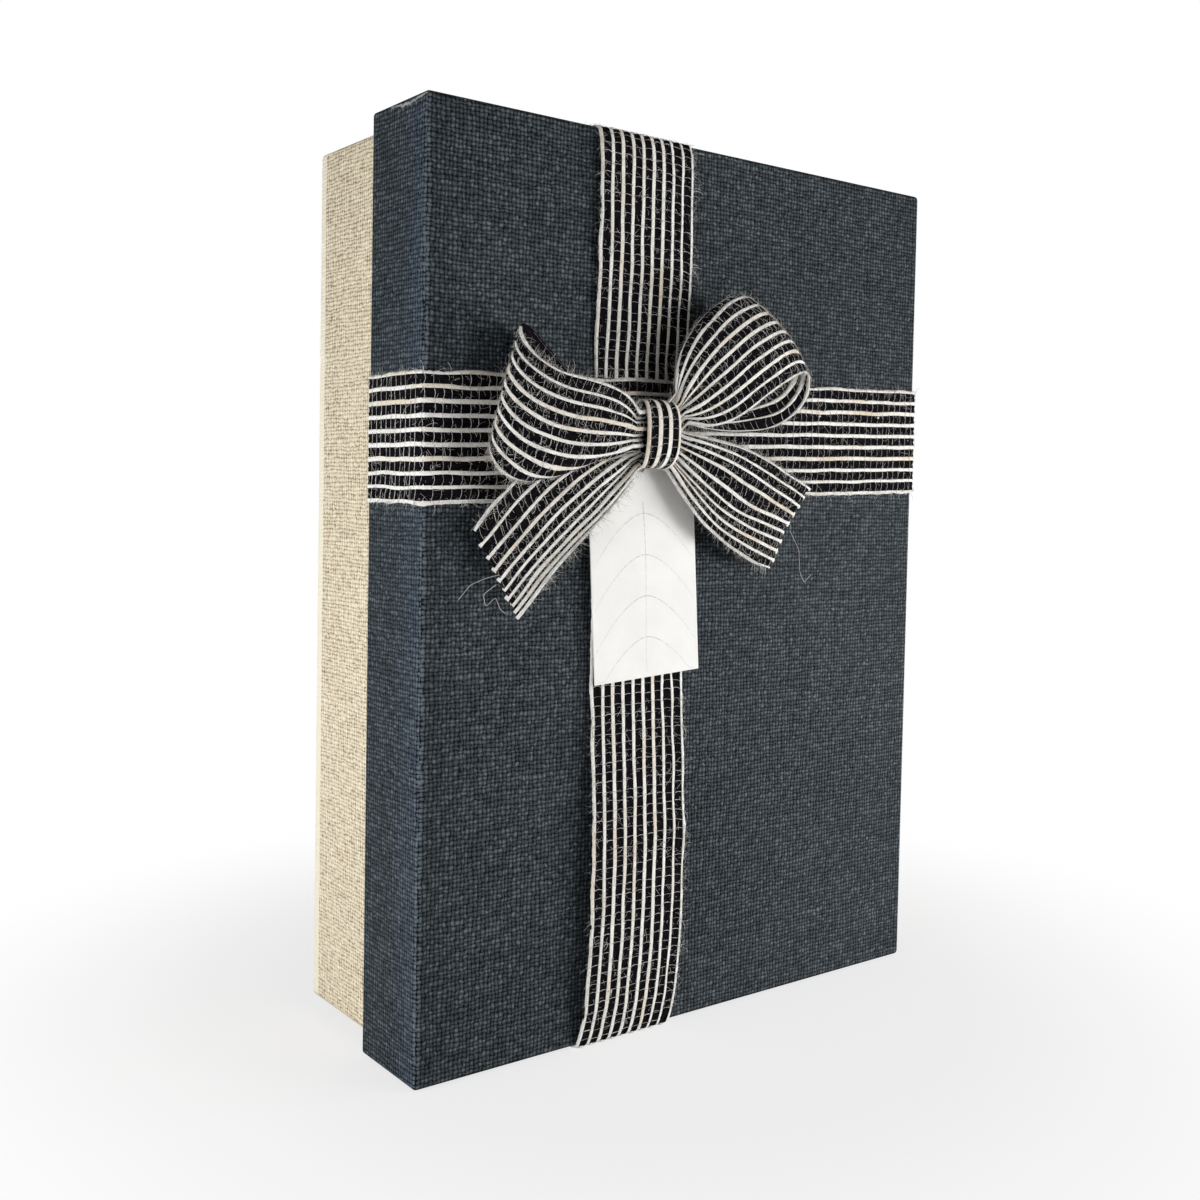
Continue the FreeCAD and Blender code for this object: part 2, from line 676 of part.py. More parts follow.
os.makedirs("parts", exist_ok=True)
for node, item in nodes.items():
    item.Shape.exportStep(f"parts/{node}.step")
    extent = item.Shape.optimalBoundingBox()
    print(f"{node}: {len(item.Shape.Solids)} solid, {item.Shape.Volume:.1f} mm3,"
          f" x {extent.XMin:.2f} to {extent.XMax:.2f}, y {extent.YMin:.2f} to {extent.YMax:.2f},"
          f" z {extent.ZMin:.2f} to {extent.ZMax:.2f}")
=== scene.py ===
# %% [markdown]
# # A linen gift box with a woven jute bow
# The box is a set-up box: two trays of greyboard wrapped in linen-look paper, one sliding into the
# other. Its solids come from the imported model, and they already have the right shape, so they stay
# and only get paper finishes. The ribbon is cloth, so every ribbon solid is replaced with woven sheet,
# yarns and loose fibres that are worked out as surfaces here.

# %% the frame
import math
from functools import partialmethod
from types import SimpleNamespace as Form

import bpy
import numpy as np
from mathutils import Matrix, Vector
from numpy import arange, array, clip, concatenate, cos, interp, linspace
from numpy import maximum, minimum, pi, roll, sign, sin, where


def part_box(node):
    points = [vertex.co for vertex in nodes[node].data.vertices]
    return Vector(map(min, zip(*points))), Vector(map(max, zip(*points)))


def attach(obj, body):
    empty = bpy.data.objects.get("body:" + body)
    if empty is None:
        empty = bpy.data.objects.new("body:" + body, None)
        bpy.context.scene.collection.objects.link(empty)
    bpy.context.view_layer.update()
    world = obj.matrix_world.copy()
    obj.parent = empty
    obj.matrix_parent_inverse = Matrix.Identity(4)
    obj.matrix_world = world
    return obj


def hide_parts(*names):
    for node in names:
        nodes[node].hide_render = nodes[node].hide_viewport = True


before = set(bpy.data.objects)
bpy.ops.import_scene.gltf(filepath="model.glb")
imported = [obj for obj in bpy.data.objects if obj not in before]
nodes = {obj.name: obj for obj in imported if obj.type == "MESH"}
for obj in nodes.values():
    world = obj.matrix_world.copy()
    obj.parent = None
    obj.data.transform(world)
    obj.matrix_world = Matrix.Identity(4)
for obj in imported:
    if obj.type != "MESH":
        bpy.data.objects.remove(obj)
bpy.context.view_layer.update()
MM = 0.001
rng = np.random.default_rng(20)


def box_mm(node):
    """A node's lowest and highest corners, in millimetres."""
    low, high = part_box(node)
    return array(low) / MM, array(high) / MM


def middle_mm(node):
    """A node's middle and half sizes, in millimetres."""
    low, high = box_mm(node)
    return (low + high) / 2, (high - low) / 2


def shown(name, held):
    """A new object in the scene for a mesh, lamp or camera."""
    made = bpy.data.objects.new(name, held)
    bpy.context.scene.collection.objects.link(made)
    return made


lid_low, lid_high = box_mm("lid_wrap")
print("solids", len(nodes), "lid from", lid_low.round(2), "to", lid_high.round(2))

# %% [markdown]
# ## The camera
# The photograph was taken from the left of the box at about half its height, so the lid's face and
# left side both show. Heading, pitch and roll turn the camera in that order, and the shift moves the
# picture on its frame without tilting the upright edges of the box.

# %% camera
CAMERA_AT = (-0.3093, -0.4003, 0.1880)
CAMERA_HEADING = math.radians(-38.2)
CAMERA_PITCH = math.radians(-2.272)
CAMERA_ROLL = math.radians(1.163)
CAMERA_LENS, CAMERA_FILM = 40.98, 36
CAMERA_SHIFT = (-0.0466, -0.0485)

camera = shown("camera", bpy.data.cameras.new("camera"))
camera.data.lens = CAMERA_LENS
camera.data.sensor_width = CAMERA_FILM
camera.data.shift_x, camera.data.shift_y = CAMERA_SHIFT
camera.data.clip_start = 0.01
camera.matrix_world = (
    Matrix.Translation(CAMERA_AT) @ Matrix.Rotation(CAMERA_HEADING, 4, "Z")
    @ Matrix.Rotation(pi / 2 + CAMERA_PITCH, 4, "X") @ Matrix.Rotation(CAMERA_ROLL, 4, "Z"))
bpy.context.scene.camera = camera
bpy.context.scene.view_settings.view_transform = "Standard"
print("camera", CAMERA_AT, "lens", CAMERA_LENS)

# %% [markdown]
# ## Meshes from arrays
# Each new piece is computed as whole arrays of points and faces, in millimetres. One function puts
# them into a mesh, scales them to metres, and gives the piece its body and finish. Another
# array, lay, carries what the finish needs for each point: the distance along a yarn, the angle
# round it and the yarn's own tint.

# %% piece from arrays


def piece(name, points, faces, lay, finish, body="lid", slot="ribbon"):
    """A mesh from points in millimetres and a list of face arrays, riding on a body."""
    corners = concatenate([rows.ravel() for rows in faces])
    sizes = concatenate([np.full(len(rows), rows.shape[1]) for rows in faces])
    starts = np.cumsum(sizes) - sizes
    mesh = bpy.data.meshes.new(name)
    mesh.vertices.add(len(points))
    mesh.vertices.foreach_set("co", (points * MM).astype(np.float32).ravel())
    mesh.loops.add(len(corners))
    mesh.loops.foreach_set("vertex_index", corners.astype(np.int32))
    mesh.polygons.add(len(sizes))
    mesh.polygons.foreach_set("loop_start", starts.astype(np.int32))
    mesh.polygons.foreach_set("use_smooth", np.ones(len(sizes), bool))
    if lay is not None:
        held = mesh.attributes.new("lay", "FLOAT_VECTOR", "POINT")
        held.data.foreach_set("vector", lay.astype(np.float32).ravel())
    mesh.update(calc_edges=True)
    mesh.materials.append(finish)
    made = shown(name, mesh)
    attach(made, body)
    return made


def grid_faces(rows, columns, ring):
    """Quads of a grid of points; a ring joins its last row to its first."""
    index = arange(rows * columns).reshape(rows, columns)
    if ring:
        index = np.vstack([index, index[:1]])
    return np.stack([index[:-1, :-1], index[1:, :-1], index[1:, 1:], index[:-1, 1:]], -1).reshape(-1, 4)


def joined(*columns):
    """Values side by side as points, each spread over the others' grid."""
    return np.stack(np.broadcast_arrays(*columns), -1)


def unit(vectors):
    """Vectors divided by their own lengths."""
    return vectors / maximum(np.linalg.norm(vectors, axis=-1, keepdims=True), 1e-9)


def distances(points):
    """How far along a path each of its points lies."""
    return concatenate([[0], np.cumsum(np.linalg.norm(np.diff(points, axis=0), axis=1))])


def tubes(paths, normals, wide, thick, sides, ring=False):
    """Oval yarns along many paths at once, wide across the surface that a yarn lies on and thick
    along its normal. One normal or size may stand for all points."""
    normals = np.broadcast_to(normals, paths.shape)
    wide, thick = (np.broadcast_to(size, paths.shape[:2]) for size in (wide, thick))
    along = np.gradient(paths, axis=1)
    if ring:
        along = roll(paths, -1, 1) - roll(paths, 1, 1)
    aside = unit(np.cross(unit(along), normals))
    angle = linspace(0, 2 * pi, sides, endpoint=False)[:, None]
    ovals = (aside[:, :, None] * cos(angle) * wide[:, :, None, None]
             + normals[:, :, None] * sin(angle) * thick[:, :, None, None])
    index = arange(paths.shape[0] * paths.shape[1] * sides).reshape(*paths.shape[:2], sides)
    here, there = (index, roll(index, -1, 1)) if ring else (index[:, :-1], index[:, 1:])
    walls = np.stack([here, there, roll(there, -1, 2), roll(here, -1, 2)], -1).reshape(-1, 4)
    caps = [] if ring else [index[:, 0], index[:, -1, ::-1]]
    return (paths[:, :, None] + ovals).reshape(-1, 3), [walls, *caps]


print("mesh helpers ready")

# %% [markdown]
# ## Building finishes
# A finish is a Principled shader fed by a few pattern nodes. Short helpers keep the recipes readable:
# one adds a node and links its inputs, and the others each do one step of arithmetic or pattern.
# Values that are the same all over are set on the shader itself.

# %% shader helpers


class Finish:
    """A new material, with helpers that add nodes to it."""

    def __init__(self, name, rough, gloss):
        self.made = bpy.data.materials.new(name)
        self.made.use_nodes = True
        self.tree = self.made.node_tree
        self.shader = self.tree.nodes["Principled BSDF"]
        self.shader.inputs["Roughness"].default_value = rough
        self.shader.inputs["Specular IOR Level"].default_value = gloss

    def add(self, kind, inputs=None, **settings):
        """A node of that kind, with its settings and inputs."""
        node = self.tree.nodes.new("ShaderNode" + kind)
        for key, chosen in settings.items():
            setattr(node, key, chosen)
        for key, given in (inputs or {}).items():
            if isinstance(given, bpy.types.NodeSocket):
                self.tree.links.new(given, node.inputs[key])
            else:
                node.inputs[key].default_value = given
        return node

    def math(self, operation, first, second=0.0, third=0.0):
        """One step of arithmetic on numbers or sockets."""
        return self.add("Math", {0: first, 1: second, 2: third}, operation=operation).outputs[0]

    plus = partialmethod(math, "ADD")
    minus = partialmethod(math, "SUBTRACT")
    times = partialmethod(math, "MULTIPLY")

    def moved(self, start, share, by):
        """A start value moved by a share of a step."""
        return self.math("MULTIPLY_ADD", share, by, start)

    def remap(self, given, low, high, new_low=0.0, new_high=1.0):
        """A value eased from one range to another and held inside it."""
        ranges = {"Value": given, "From Min": low, "From Max": high, "To Min": new_low, "To Max": new_high}
        return self.add("MapRange", ranges, interpolation_type="SMOOTHSTEP").outputs[0]

    def blend(self, share, first, second):
        """A colour between two colours."""
        given = {"Factor": share, 6: first, 7: second}
        return self.add("Mix", given, data_type="RGBA").outputs[2]

    def noise(self, place, scale, detail=2.0):
        """Cloudy values about a half."""
        given = {"Vector": place, "Scale": scale, "Detail": detail}
        return self.add("TexNoise", given).outputs["Fac"]

    def unrest(self, place, scale, detail=2.0):
        """Cloudy values about zero."""
        return self.minus(self.noise(place, scale, detail), 0.5)

    def chance(self, place):
        """One value from 0 to 1 for each whole-number place."""
        return self.add("TexWhiteNoise", {"Vector": place}, noise_dimensions="3D").outputs["Value"]

    def vector(self, x, y, z):
        """Three values put together as one place."""
        return self.add("CombineXYZ", {0: x, 1: y, 2: z}).outputs[0]

    def place(self):
        """Where a point lies on the object, in metres."""
        return self.add("TexCoord").outputs["Object"]

    def apart(self, place):
        """The three values of a place."""
        return self.add("SeparateXYZ", {0: place}).outputs

    def lay(self):
        """The three values that each point of a ribbon or string carries."""
        return self.apart(self.add("Attribute", attribute_name="lay").outputs["Vector"])

    def colour(self, given):
        """Links the shader's colour."""
        self.tree.links.new(given, self.shader.inputs["Base Color"])

    def bump(self, height, depth):
        """Relief from a height pattern and its depth in metres."""
        node = self.add("Bump", {"Height": height, "Distance": depth})
        self.tree.links.new(node.outputs[0], self.shader.inputs["Normal"])


def dress(finish, *names):
    """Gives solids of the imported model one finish."""
    for name in names:
        nodes[name].data.materials.clear()
        nodes[name].data.materials.append(finish)
    print(finish.name, "on", *names)


print("shader helpers ready")

# %% [markdown]
# ## Linen-look cover paper
# Both trays are wrapped in paper embossed with a plain weave: every thread goes over one and under
# the next. The weave is laid on each face of the box by choosing two of the three coordinates from
# the way the face looks. A sine gives each thread its round back, a cosine its rise and fall, and
# the higher thread shows. The colour follows that height: the low gaps are painted dark as shade and
# the highest crossings are painted pale as a highlight. Slow noise bends the threads and makes slubs,
# fine noise makes them uneven, each crossing has its own brightness, and some gaps are filled with
# fibre. On the side walls the paper is painted paler, and on the lid bluer, towards the front edge as
# a sheen highlight, the edge itself gets a painted highlight, and the face just beside that edge gets
# painted shade. At the top corners the torn edge of the paper's fold shows. The base also has a
# smooth band along its back edges and a tan line of painted shade along its foot, where the paper
# turns under.

# %% linen finish
BEND_SCALE, BEND = 45, 1.6
UNEVEN_SCALE, UNEVEN = 420, 0.9
SLUB_NUMBER, SLUB_SCALE = 7.3, 130
GRAIN_SCALE, GRAIN = 2600, 0.6
PATCH_SCALE, PATCH = 16, 0.18
EDGE_NEAR, EDGE_FAR = 0.002, 0.022
EDGE_HIGHLIGHT_NEAR, EDGE_HIGHLIGHT_FAR = 0.0004, 0.0026
BAND_START, BAND_FULL = 0.0052, 0.0047
FOOT_SHADE_START, FOOT_SHADE_FULL = 0.0016, 0.0011
FLAP_LENGTH, FLAP_EDGE, FLAP_DIP = 0.024, 0.0009, 0.0012
TORN_SCALE, TORN, TORN_WIDE, TORN_CORE = 420, 0.0024, 0.0006, 0.00015
NONE = (0, 0, 0, 0)


def linen(name, pitch, tones, slub, fill, wrapped, painted_sheen_tone, edge_shade_strength, fold_tone, depth, flat=NONE, foot_shade=NONE):
    """Plain-woven paper: tones are the colours of gaps, threads and thickest slubs, fill is how far
    some gaps are filled, and distances to edges are measured from the wrapped box. The gap tone is
    painted shade in the weave's low places, and the pale tone that the highest crossings reach is a
    painted highlight. Near the front edge the side walls are painted towards a paler sheen tone as a
    highlight, the edge itself gets a painted highlight, the face beside it is darkened as painted
    shade, and the foot can get a tan line of painted shade. The fourth value of fold_tone, flat and
    the foot's shade is their strength."""
    made = Finish(name, 0.6, 0.06)
    plus, minus, times, moved, remap = made.plus, made.minus, made.times, made.moved, made.remap
    blend, vector, unrest, step = made.blend, made.vector, made.unrest, made.math
    low, high = wrapped[0] * MM, wrapped[1] * MM
    coords = made.add("TexCoord").outputs
    place = coords["Object"]
    x, y, z = made.apart(place)
    looks = made.add("VectorMath", {0: coords["Normal"]}, operation="ABSOLUTE").outputs[0]
    nx, ny, nz = made.apart(looks)
    on_side = step("GREATER_THAN", nx, step("MAXIMUM", ny, nz))
    on_end = step("GREATER_THAN", nz, step("MAXIMUM", nx, ny))
    u, v = moved(x, on_side, minus(y, x)), moved(z, on_end, minus(y, z))
    bend_u = unrest(vector(times(u, 4.0), v, on_side), BEND_SCALE)
    bend_v = unrest(vector(u, times(v, 4.0), on_end), BEND_SCALE)
    u, v = moved(u, bend_u, BEND * pitch), moved(v, bend_v, BEND * pitch)
    uneven_u = unrest(vector(u, v, 3.0), UNEVEN_SCALE, 1.0)
    uneven_v = unrest(vector(u, v, 7.0), UNEVEN_SCALE, 1.0)
    u, v = moved(u, uneven_u, UNEVEN * pitch), moved(v, uneven_v, UNEVEN * pitch)
    across, up = step("DIVIDE", u, pitch), step("DIVIDE", v, pitch)
    i, j = step("FLOOR", across), step("FLOOR", up)

    def thread(own_place, number, other_place, turn, slubs):
        """A thread's round back, times its rise and fall by cosine, times its slubs."""
        round_back = step("SINE", times(step("FRACT", own_place), pi))
        round_back = step("POWER", round_back, 0.85)
        wave = plus(minus(other_place, 0.5), number)
        rise = step("COSINE", times(wave, pi))
        height = times(round_back, moved(0.5, rise, 0.5 * turn))
        return times(height, remap(made.noise(slubs, 1.0), 0.25, 0.75, 1.0 - slub, 1.0 + slub))

    upright = thread(across, i, up, 1.0, vector(times(i, SLUB_NUMBER), times(v, SLUB_SCALE), 1.0))
    level = thread(up, j, across, -1.0, vector(times(u, SLUB_SCALE), times(j, SLUB_NUMBER), 5.0))
    height = step("MAXIMUM", upright, level)
    lively = times(height, remap(made.chance(vector(i, j, on_side)), 0.0, 1.0, 0.76, 1.24))
    shade = plus(lively, times(unrest(place, GRAIN_SCALE, 1.0), GRAIN))
    shade = plus(shade, times(unrest(place, PATCH_SCALE, 3.0), PATCH))
    gap = vector(step("ROUND", across), step("ROUND", up), on_end)
    open_gap = plus(shade, times(made.chance(gap), fill))

    outer = minus((high[0] - low[0]) / 2, step("ABSOLUTE", x))
    behind = minus(y, low[1])
    on_wall = remap(outer, EDGE_NEAR, 0.0)
    # Painted highlight: on the side walls the thread tone turns towards a paler sheen tone, bluer on the
    # lid, towards the front edge.
    rub_and_sheen = times(remap(behind, EDGE_FAR, EDGE_NEAR), on_wall)
    # The tone follows the emboss height: the low gaps are painted dark as shade and, next, the highest
    # crossings are painted pale as a highlight, over each crossing's own random brightness.
    tone = blend(remap(open_gap, 0.23, 0.66), tones[0], blend(rub_and_sheen, tones[1], painted_sheen_tone))
    tone = blend(remap(shade, 0.76, 1.3), tone, tones[2])
    # Painted shade: the front face darkens towards each side edge, just beside it.
    edge_shade = times(remap(outer, EDGE_FAR, 0.001, 0.0, edge_shade_strength), remap(behind, EDGE_NEAR, 0.0))
    tone = blend(edge_shade, tone, tones[0])
    # Painted highlight: a thin pale line down the front edges of the side walls.
    edge_highlight = times(remap(behind, EDGE_HIGHLIGHT_FAR, EDGE_HIGHLIGHT_NEAR), remap(outer, EDGE_HIGHLIGHT_FAR, EDGE_HIGHLIGHT_NEAR))
    tone = blend(times(edge_highlight, remap(shade, 0.35, 0.9, 0.0, 0.7)), tone, tones[2])
    band = times(remap(y, high[1] - BAND_START, high[1] - BAND_FULL), flat[3])
    tone = blend(times(band, on_wall), tone, (*flat[:3], 1))
    # Painted shade: a tan line along the foot of the side walls, where the paper turns under.
    foot = times(remap(z, low[2] + FOOT_SHADE_START, low[2] + FOOT_SHADE_FULL), foot_shade[3])
    tone = blend(times(foot, on_wall), tone, (*foot_shade[:3], 1))

    share = made.add("Clamp", {0: step("DIVIDE", behind, FLAP_LENGTH)}).outputs[0]
    flap = step("SINE", times(share, pi))
    middle, reach = (high[2] + low[2]) / 2, (high[2] - low[2]) / 2
    under = minus(reach, minus(z, middle))
    torn = times(unrest(place, TORN_SCALE, 3.0), TORN)
    off = step("ABSOLUTE", minus(plus(under, torn), moved(FLAP_EDGE, flap, FLAP_DIP)))
    cut = times(times(remap(off, TORN_WIDE, TORN_CORE), remap(flap, 0.02, 0.12)), on_wall)
    made.colour(blend(times(cut, fold_tone[3]), tone, (*fold_tone[:3], 1)))
    made.bump(height, depth)
    return made.made


# Both trays get painted highlights on the side walls near the front edge, on that edge and on the weave's
# highest crossings, and painted shade in the weave's gaps and on the face beside that edge; the base also
# gets a tan line of painted shade along its foot.
dress(linen(
    "lid_linen", pitch=0.00148, slub=0.12, fill=0.08, wrapped=box_mm("lid_wrap"), edge_shade_strength=0.2, depth=0.0003,
    tones=[(0.002, 0.0035, 0.0045, 1), (0.042, 0.0515, 0.058, 1), (0.130, 0.154, 0.168, 1)],
    painted_sheen_tone=(0.050, 0.065, 0.085, 1), fold_tone=(0.36, 0.36, 0.35, 0.8)), "lid_wrap")
dress(linen(
    "base_linen", pitch=0.00135, slub=0.16, fill=0.22, wrapped=box_mm("base_wrap"), edge_shade_strength=0.2, depth=0.0002,
    tones=[(0.22, 0.15, 0.08, 1), (0.70, 0.615, 0.46, 1), (0.86, 0.79, 0.65, 1)],
    painted_sheen_tone=(0.74, 0.66, 0.52, 1), fold_tone=(0.5, 0.42, 0.3, 0.0), flat=(0.80, 0.74, 0.60, 1.0),
    foot_shade=(0.50, 0.40, 0.26, 0.8)), "base_wrap")

# %% [markdown]
# ## Board, tape, lining and glue
# These show only when the lid is off. Greyboard is pressed from mixed waste paper, so it is a warm
# grey full of short fibres and specks. The lining is smooth cream paper, the corner stays are
# gummed kraft tape, and the glue is a clear amber dab that holds the bow.

# %% inner finishes


def fibrous(name, rough, ground, fibre, speck, scale, depth):
    """Paper of short fibres: stretched noise makes the fibres, sharp noise the specks."""
    made = Finish(name, rough, 0.25)
    place = made.place()
    x, y, z = made.apart(place)
    twist = made.noise(place, scale * 0.15, 1.0)
    bent = made.moved(made.times(x, 0.25), twist, 0.02)
    strands = made.noise(made.vector(bent, y, made.times(z, 0.7)), scale, 4.0)
    specks = made.noise(place, scale * 1.6, 1.0)
    tone = made.blend(made.remap(strands, 0.35, 0.7), ground, fibre)
    made.colour(made.blend(made.remap(specks, 0.68, 0.74), tone, speck))
    made.bump(strands, depth)
    return made.made


dress(fibrous("greyboard", 0.9, (0.25, 0.23, 0.20, 1), (0.36, 0.34, 0.30, 1), (0.10, 0.09, 0.08, 1),
              700, 0.00008), "base_board", "lid_board")
dress(fibrous("lining_paper", 0.7, (0.72, 0.68, 0.60, 1), (0.80, 0.77, 0.70, 1), (0.62, 0.55, 0.45, 1),
              500, 0.00002), "base_floor_liner", "base_wall_liner", "lid_floor_liner")
dress(fibrous("kraft_tape", 0.6, (0.42, 0.27, 0.15, 1), (0.52, 0.35, 0.21, 1), (0.30, 0.18, 0.10, 1),
              600, 0.00003), "base_corner_stays", "lid_corner_stays")
dress(fibrous("set_glue", 0.25, (0.60, 0.50, 0.33, 1), (0.68, 0.58, 0.42, 1), (0.50, 0.40, 0.25, 1),
              300, 0.00005), "bow_glue")

# %% [markdown]
# ## Jute finishes
# The ribbon is woven from thick cream yarns with black bands between them. A cream yarn is loosely
# twisted, so its fibres run round it in a slow spiral: the finish winds its streaks by the angle and
# the distance kept in lay, and each yarn has its own tint from white to tan. The black ground is
# dull and hairy, and the loose fibres are grey to pale.

# %% ribbon finishes


def jute_yarn():
    """Cream yarn: spiral streaks, a tint per yarn, darker flecks and a soft bump."""
    made = Finish("cream_jute", 0.85, 0.2)
    times, remap = made.times, made.remap
    far, angle, tint = made.lay()
    spiral = made.plus(angle, times(far, 1.1))
    around = made.vector(made.math("COSINE", spiral), made.math("SINE", spiral), times(far, 0.12))
    streaks = made.noise(around, 4.0, 3.0)
    slow = made.noise(made.vector(times(far, 0.06), times(tint, 40), 0.0), 1.0, 2.0)
    tan = made.plus(times(tint, 0.75), remap(slow, 0.4, 0.75, -0.15, 0.35))
    tone = made.blend(remap(tan, 0.0, 1.0), (0.95, 0.94, 0.91, 1), (0.78, 0.64, 0.45, 1))
    tone = made.blend(remap(streaks, 0.6, 0.36, 0.0, 0.32), tone, (0.52, 0.43, 0.32, 1))
    flecks = made.noise(made.vector(times(far, 0.9), angle, times(tint, 90)), 1.0, 1.0)
    made.colour(made.blend(remap(flecks, 0.76, 0.8), tone, (0.12, 0.09, 0.07, 1)))
    made.bump(streaks, 0.0003)
    return made.made


def black_ground():
    """Black jute ground: hairy streaks along the yarns over near-black."""
    made = Finish("black_jute", 0.95, 0.02)
    far, across, tint = made.lay()
    hairs = made.noise(made.vector(made.times(far, 0.35), made.times(across, 4.0), tint), 1.0, 3.0)
    cloudy = made.noise(made.vector(far, across, tint), 0.25, 2.0)
    tone = made.blend(made.remap(hairs, 0.45, 0.75), (0.003, 0.003, 0.004, 1), (0.022, 0.019, 0.022, 1))
    made.colour(made.blend(made.remap(cloudy, 0.55, 0.8, 0.0, 0.5), tone, (0.018, 0.013, 0.013, 1)))
    made.bump(hairs, 0.0002)
    return made.made


def loose_fibre():
    """Loose jute fibre: from dark grey to pale by its own tint, with darker patches."""
    made = Finish("loose_fibre", 0.8, 0.2)
    far, angle, tint = made.lay()
    patchy = made.noise(made.vector(made.times(far, 2.0), made.times(tint, 50), angle), 1.0, 1.0)
    tone = made.blend(made.remap(tint, -1.0, 1.0), (0.10, 0.10, 0.105, 1), (0.78, 0.75, 0.70, 1))
    made.colour(made.blend(made.remap(patchy, 0.6, 0.35, 0.0, 0.65), tone, (0.09, 0.085, 0.085, 1)))
    return made.made


CREAM, BLACK, FIBRE = jute_yarn(), black_ground(), loose_fibre()
print("ribbon finishes", CREAM.name, BLACK.name, FIBRE.name)

# %% [markdown]
# ## One recipe for every length of ribbon
# Flat runs, loops, tails and the knot differ only in shape. So each is one function of two values:
# t runs along the ribbon from 0 to 1 and a runs across it from -1 to 1. The recipe then does the
# weaving on any such shape: a corrugated black sheet, ten cream yarns at even places across, fine
# weft threads that cross each black band, loose fibres, short fuzz on every yarn and a few pulled
# threads. A yarn squeezes flat where the ribbon is gathered and its neighbours come close.

# %% ribbon recipe
RIBBON_WIDTH = 40.0
SHEET_THICK, SHEET_ROW, SHEET_COLUMNS, SHEET_RELIEF = 0.3, 0.8, 73, 0.28
YARN_COUNT = 10
YARN_HALF = array([0.52, 0.52, 0.62, 0.84, 0.80, 0.70, 0.70, 0.84, 0.64, 0.48])
YARN_TINT = array([0.0, 0.05, 0.0, 0.4, 0.05, 0.0, 0.0, 0.3, 0.1, 0.15])
YARN_SIDES, YARN_POINTS_PER_MM = 8, 1.5
YARN_EDGE, YARN_DEPTH, YARN_FLAT, YARN_HIDDEN = 0.975, 0.55, 0.85, 0.02
WEFT_PITCH, WEFT_STEPS = 3.2, 6
FIBRE_SIDES, THREAD_SIDES, THREAD_HALF = 3, 4, 0.075
HAIR_EDGE, HAIR_LIFT = 0.45, 0.45
LONG_RUN, LONG_FUZZ, SHORT_FUZZ = 200, 0.75, 1.4
PATH_STEP = 0.2
CLEAR_OF_FLOOR = 6.0
TO_VIEWER = (0.0, -1.0, 0.0)
BOW_X, BOW_Z = -28.3, 205.7
FRONT, RIM = lid_low[1], lid_high[1]
SWING_LOW, SWING_HALF, SWING_SPREAD, SWING_DEPTH = 90, 28, 0.3, 7


class Run:
    """One length of ribbon: its shape and length, the side that faces out, and its yarns' places."""

    def __init__(self, shape, ring, keep, bare):
        self.shape, self.ring, self.side, self.bare = shape, ring, 1, bare
        self.keep = array(keep)
        self.home = linspace(-1, 1, YARN_COUNT)[self.keep, None] * YARN_EDGE
        self.fine = linspace(0, 1, 2001)
        middle = shape(self.fine, np.zeros_like(self.fine))
        self.measured = distances(middle)
        self.length = self.measured[-1]
        normal = self.frame(self.fine, np.zeros_like(self.fine))[1]
        self.side = -sign(normal[np.argmin(middle[:, 1]), 1])

    def at(self, far):
        """The value of t at a distance along the middle."""
        return interp(far, self.measured, self.fine)

    def frame(self, t, a):
        """Places, with the surface's normal and its stretch across from small steps."""
        step = 1e-3
        along = self.shape(t + step, a) - self.shape(t - step, a)
        across = (self.shape(t, a + step) - self.shape(t, a - step)) / (2 * step)
        return self.shape(t, a), unit(np.cross(along, across)) * self.side, np.linalg.norm(across, axis=-1)

    def turned_in(self, yarn, share):
        """Which yarns, counted from one edge, are turned in at a share of the length."""
        count, first, last = self.bare
        return (yarn < count) & (share > first) & (share < last)

    def ways(self, t, a, hand, spread, slant):
        """The way across the ribbon, to either hand, and random ways between it and the length."""
        step, size = 0.01, (len(t), 1)
        outward = unit(self.shape(t, a + step) - self.shape(t, a - step)) * hand
        onward = unit(self.shape(t + step, a) - self.shape(t - step, a))
        return outward, unit(outward * rng.uniform(*spread, size) + onward * rng.normal(0, slant, size))


def drift(size, waves, amount):
    """Slow seeded wandering along rows of points, as a sum of four sines."""
    rows, columns = size
    at = linspace(0, 2 * pi * waves, columns)
    speed = rng.uniform(0.3, 1.6, (rows, 4, 1))
    phase = rng.uniform(0, 2 * pi, (rows, 4, 1))
    return amount * sin(at * speed + phase).sum(1) / 2


def fibres(starts, ways, lifts, lengths, half, steps=7, pale=0.0):
    """Loose fibres: each leaves its start along a way, curls round sideways, lifts and thins out."""
    u = linspace(0, 1, steps)[None, :, None]
    reach = lengths[:, None, None]
    aside = unit(np.cross(ways, lifts))[:, None]
    turn = rng.normal(0, 1.6, (len(starts), 1, 1)) * u
    rise = lifts[:, None] * rng.uniform(0.05, 0.4, (len(starts), 1, 1))
    ahead = ways[:, None] * sin(turn + 1e-6) / (turn + 1e-6) * u
    paths = starts[:, None] + reach * (ahead + aside * sin(turn) * u * 0.8 + rise * sin(pi * u * 0.7))
    radius = half[:, None] * (1.1 - 0.6 * u[0, :, 0])[None]
    points, faces = tubes(paths, lifts[:, None], radius, radius, FIBRE_SIDES)
    tint = rng.uniform(pale, 1, len(starts))[:, None, None]
    lay = joined(reach * u, 0.0 * u, tint).reshape(-1, steps, 3)
    return points, faces, np.repeat(lay, FIBRE_SIDES, 1)


def free(points):
    """Which points are clear of the floor and of the wedge where the tag swings."""
    x, y, z = np.moveaxis(points, -1, 0)
    below = BOW_Z - z
    swept = (below > 0) & (below < SWING_LOW) & (abs(x - BOW_X) < SWING_HALF + SWING_SPREAD * below)
    return (z > CLEAR_OF_FLOOR) & ~(swept & (y > FRONT - SWING_DEPTH))


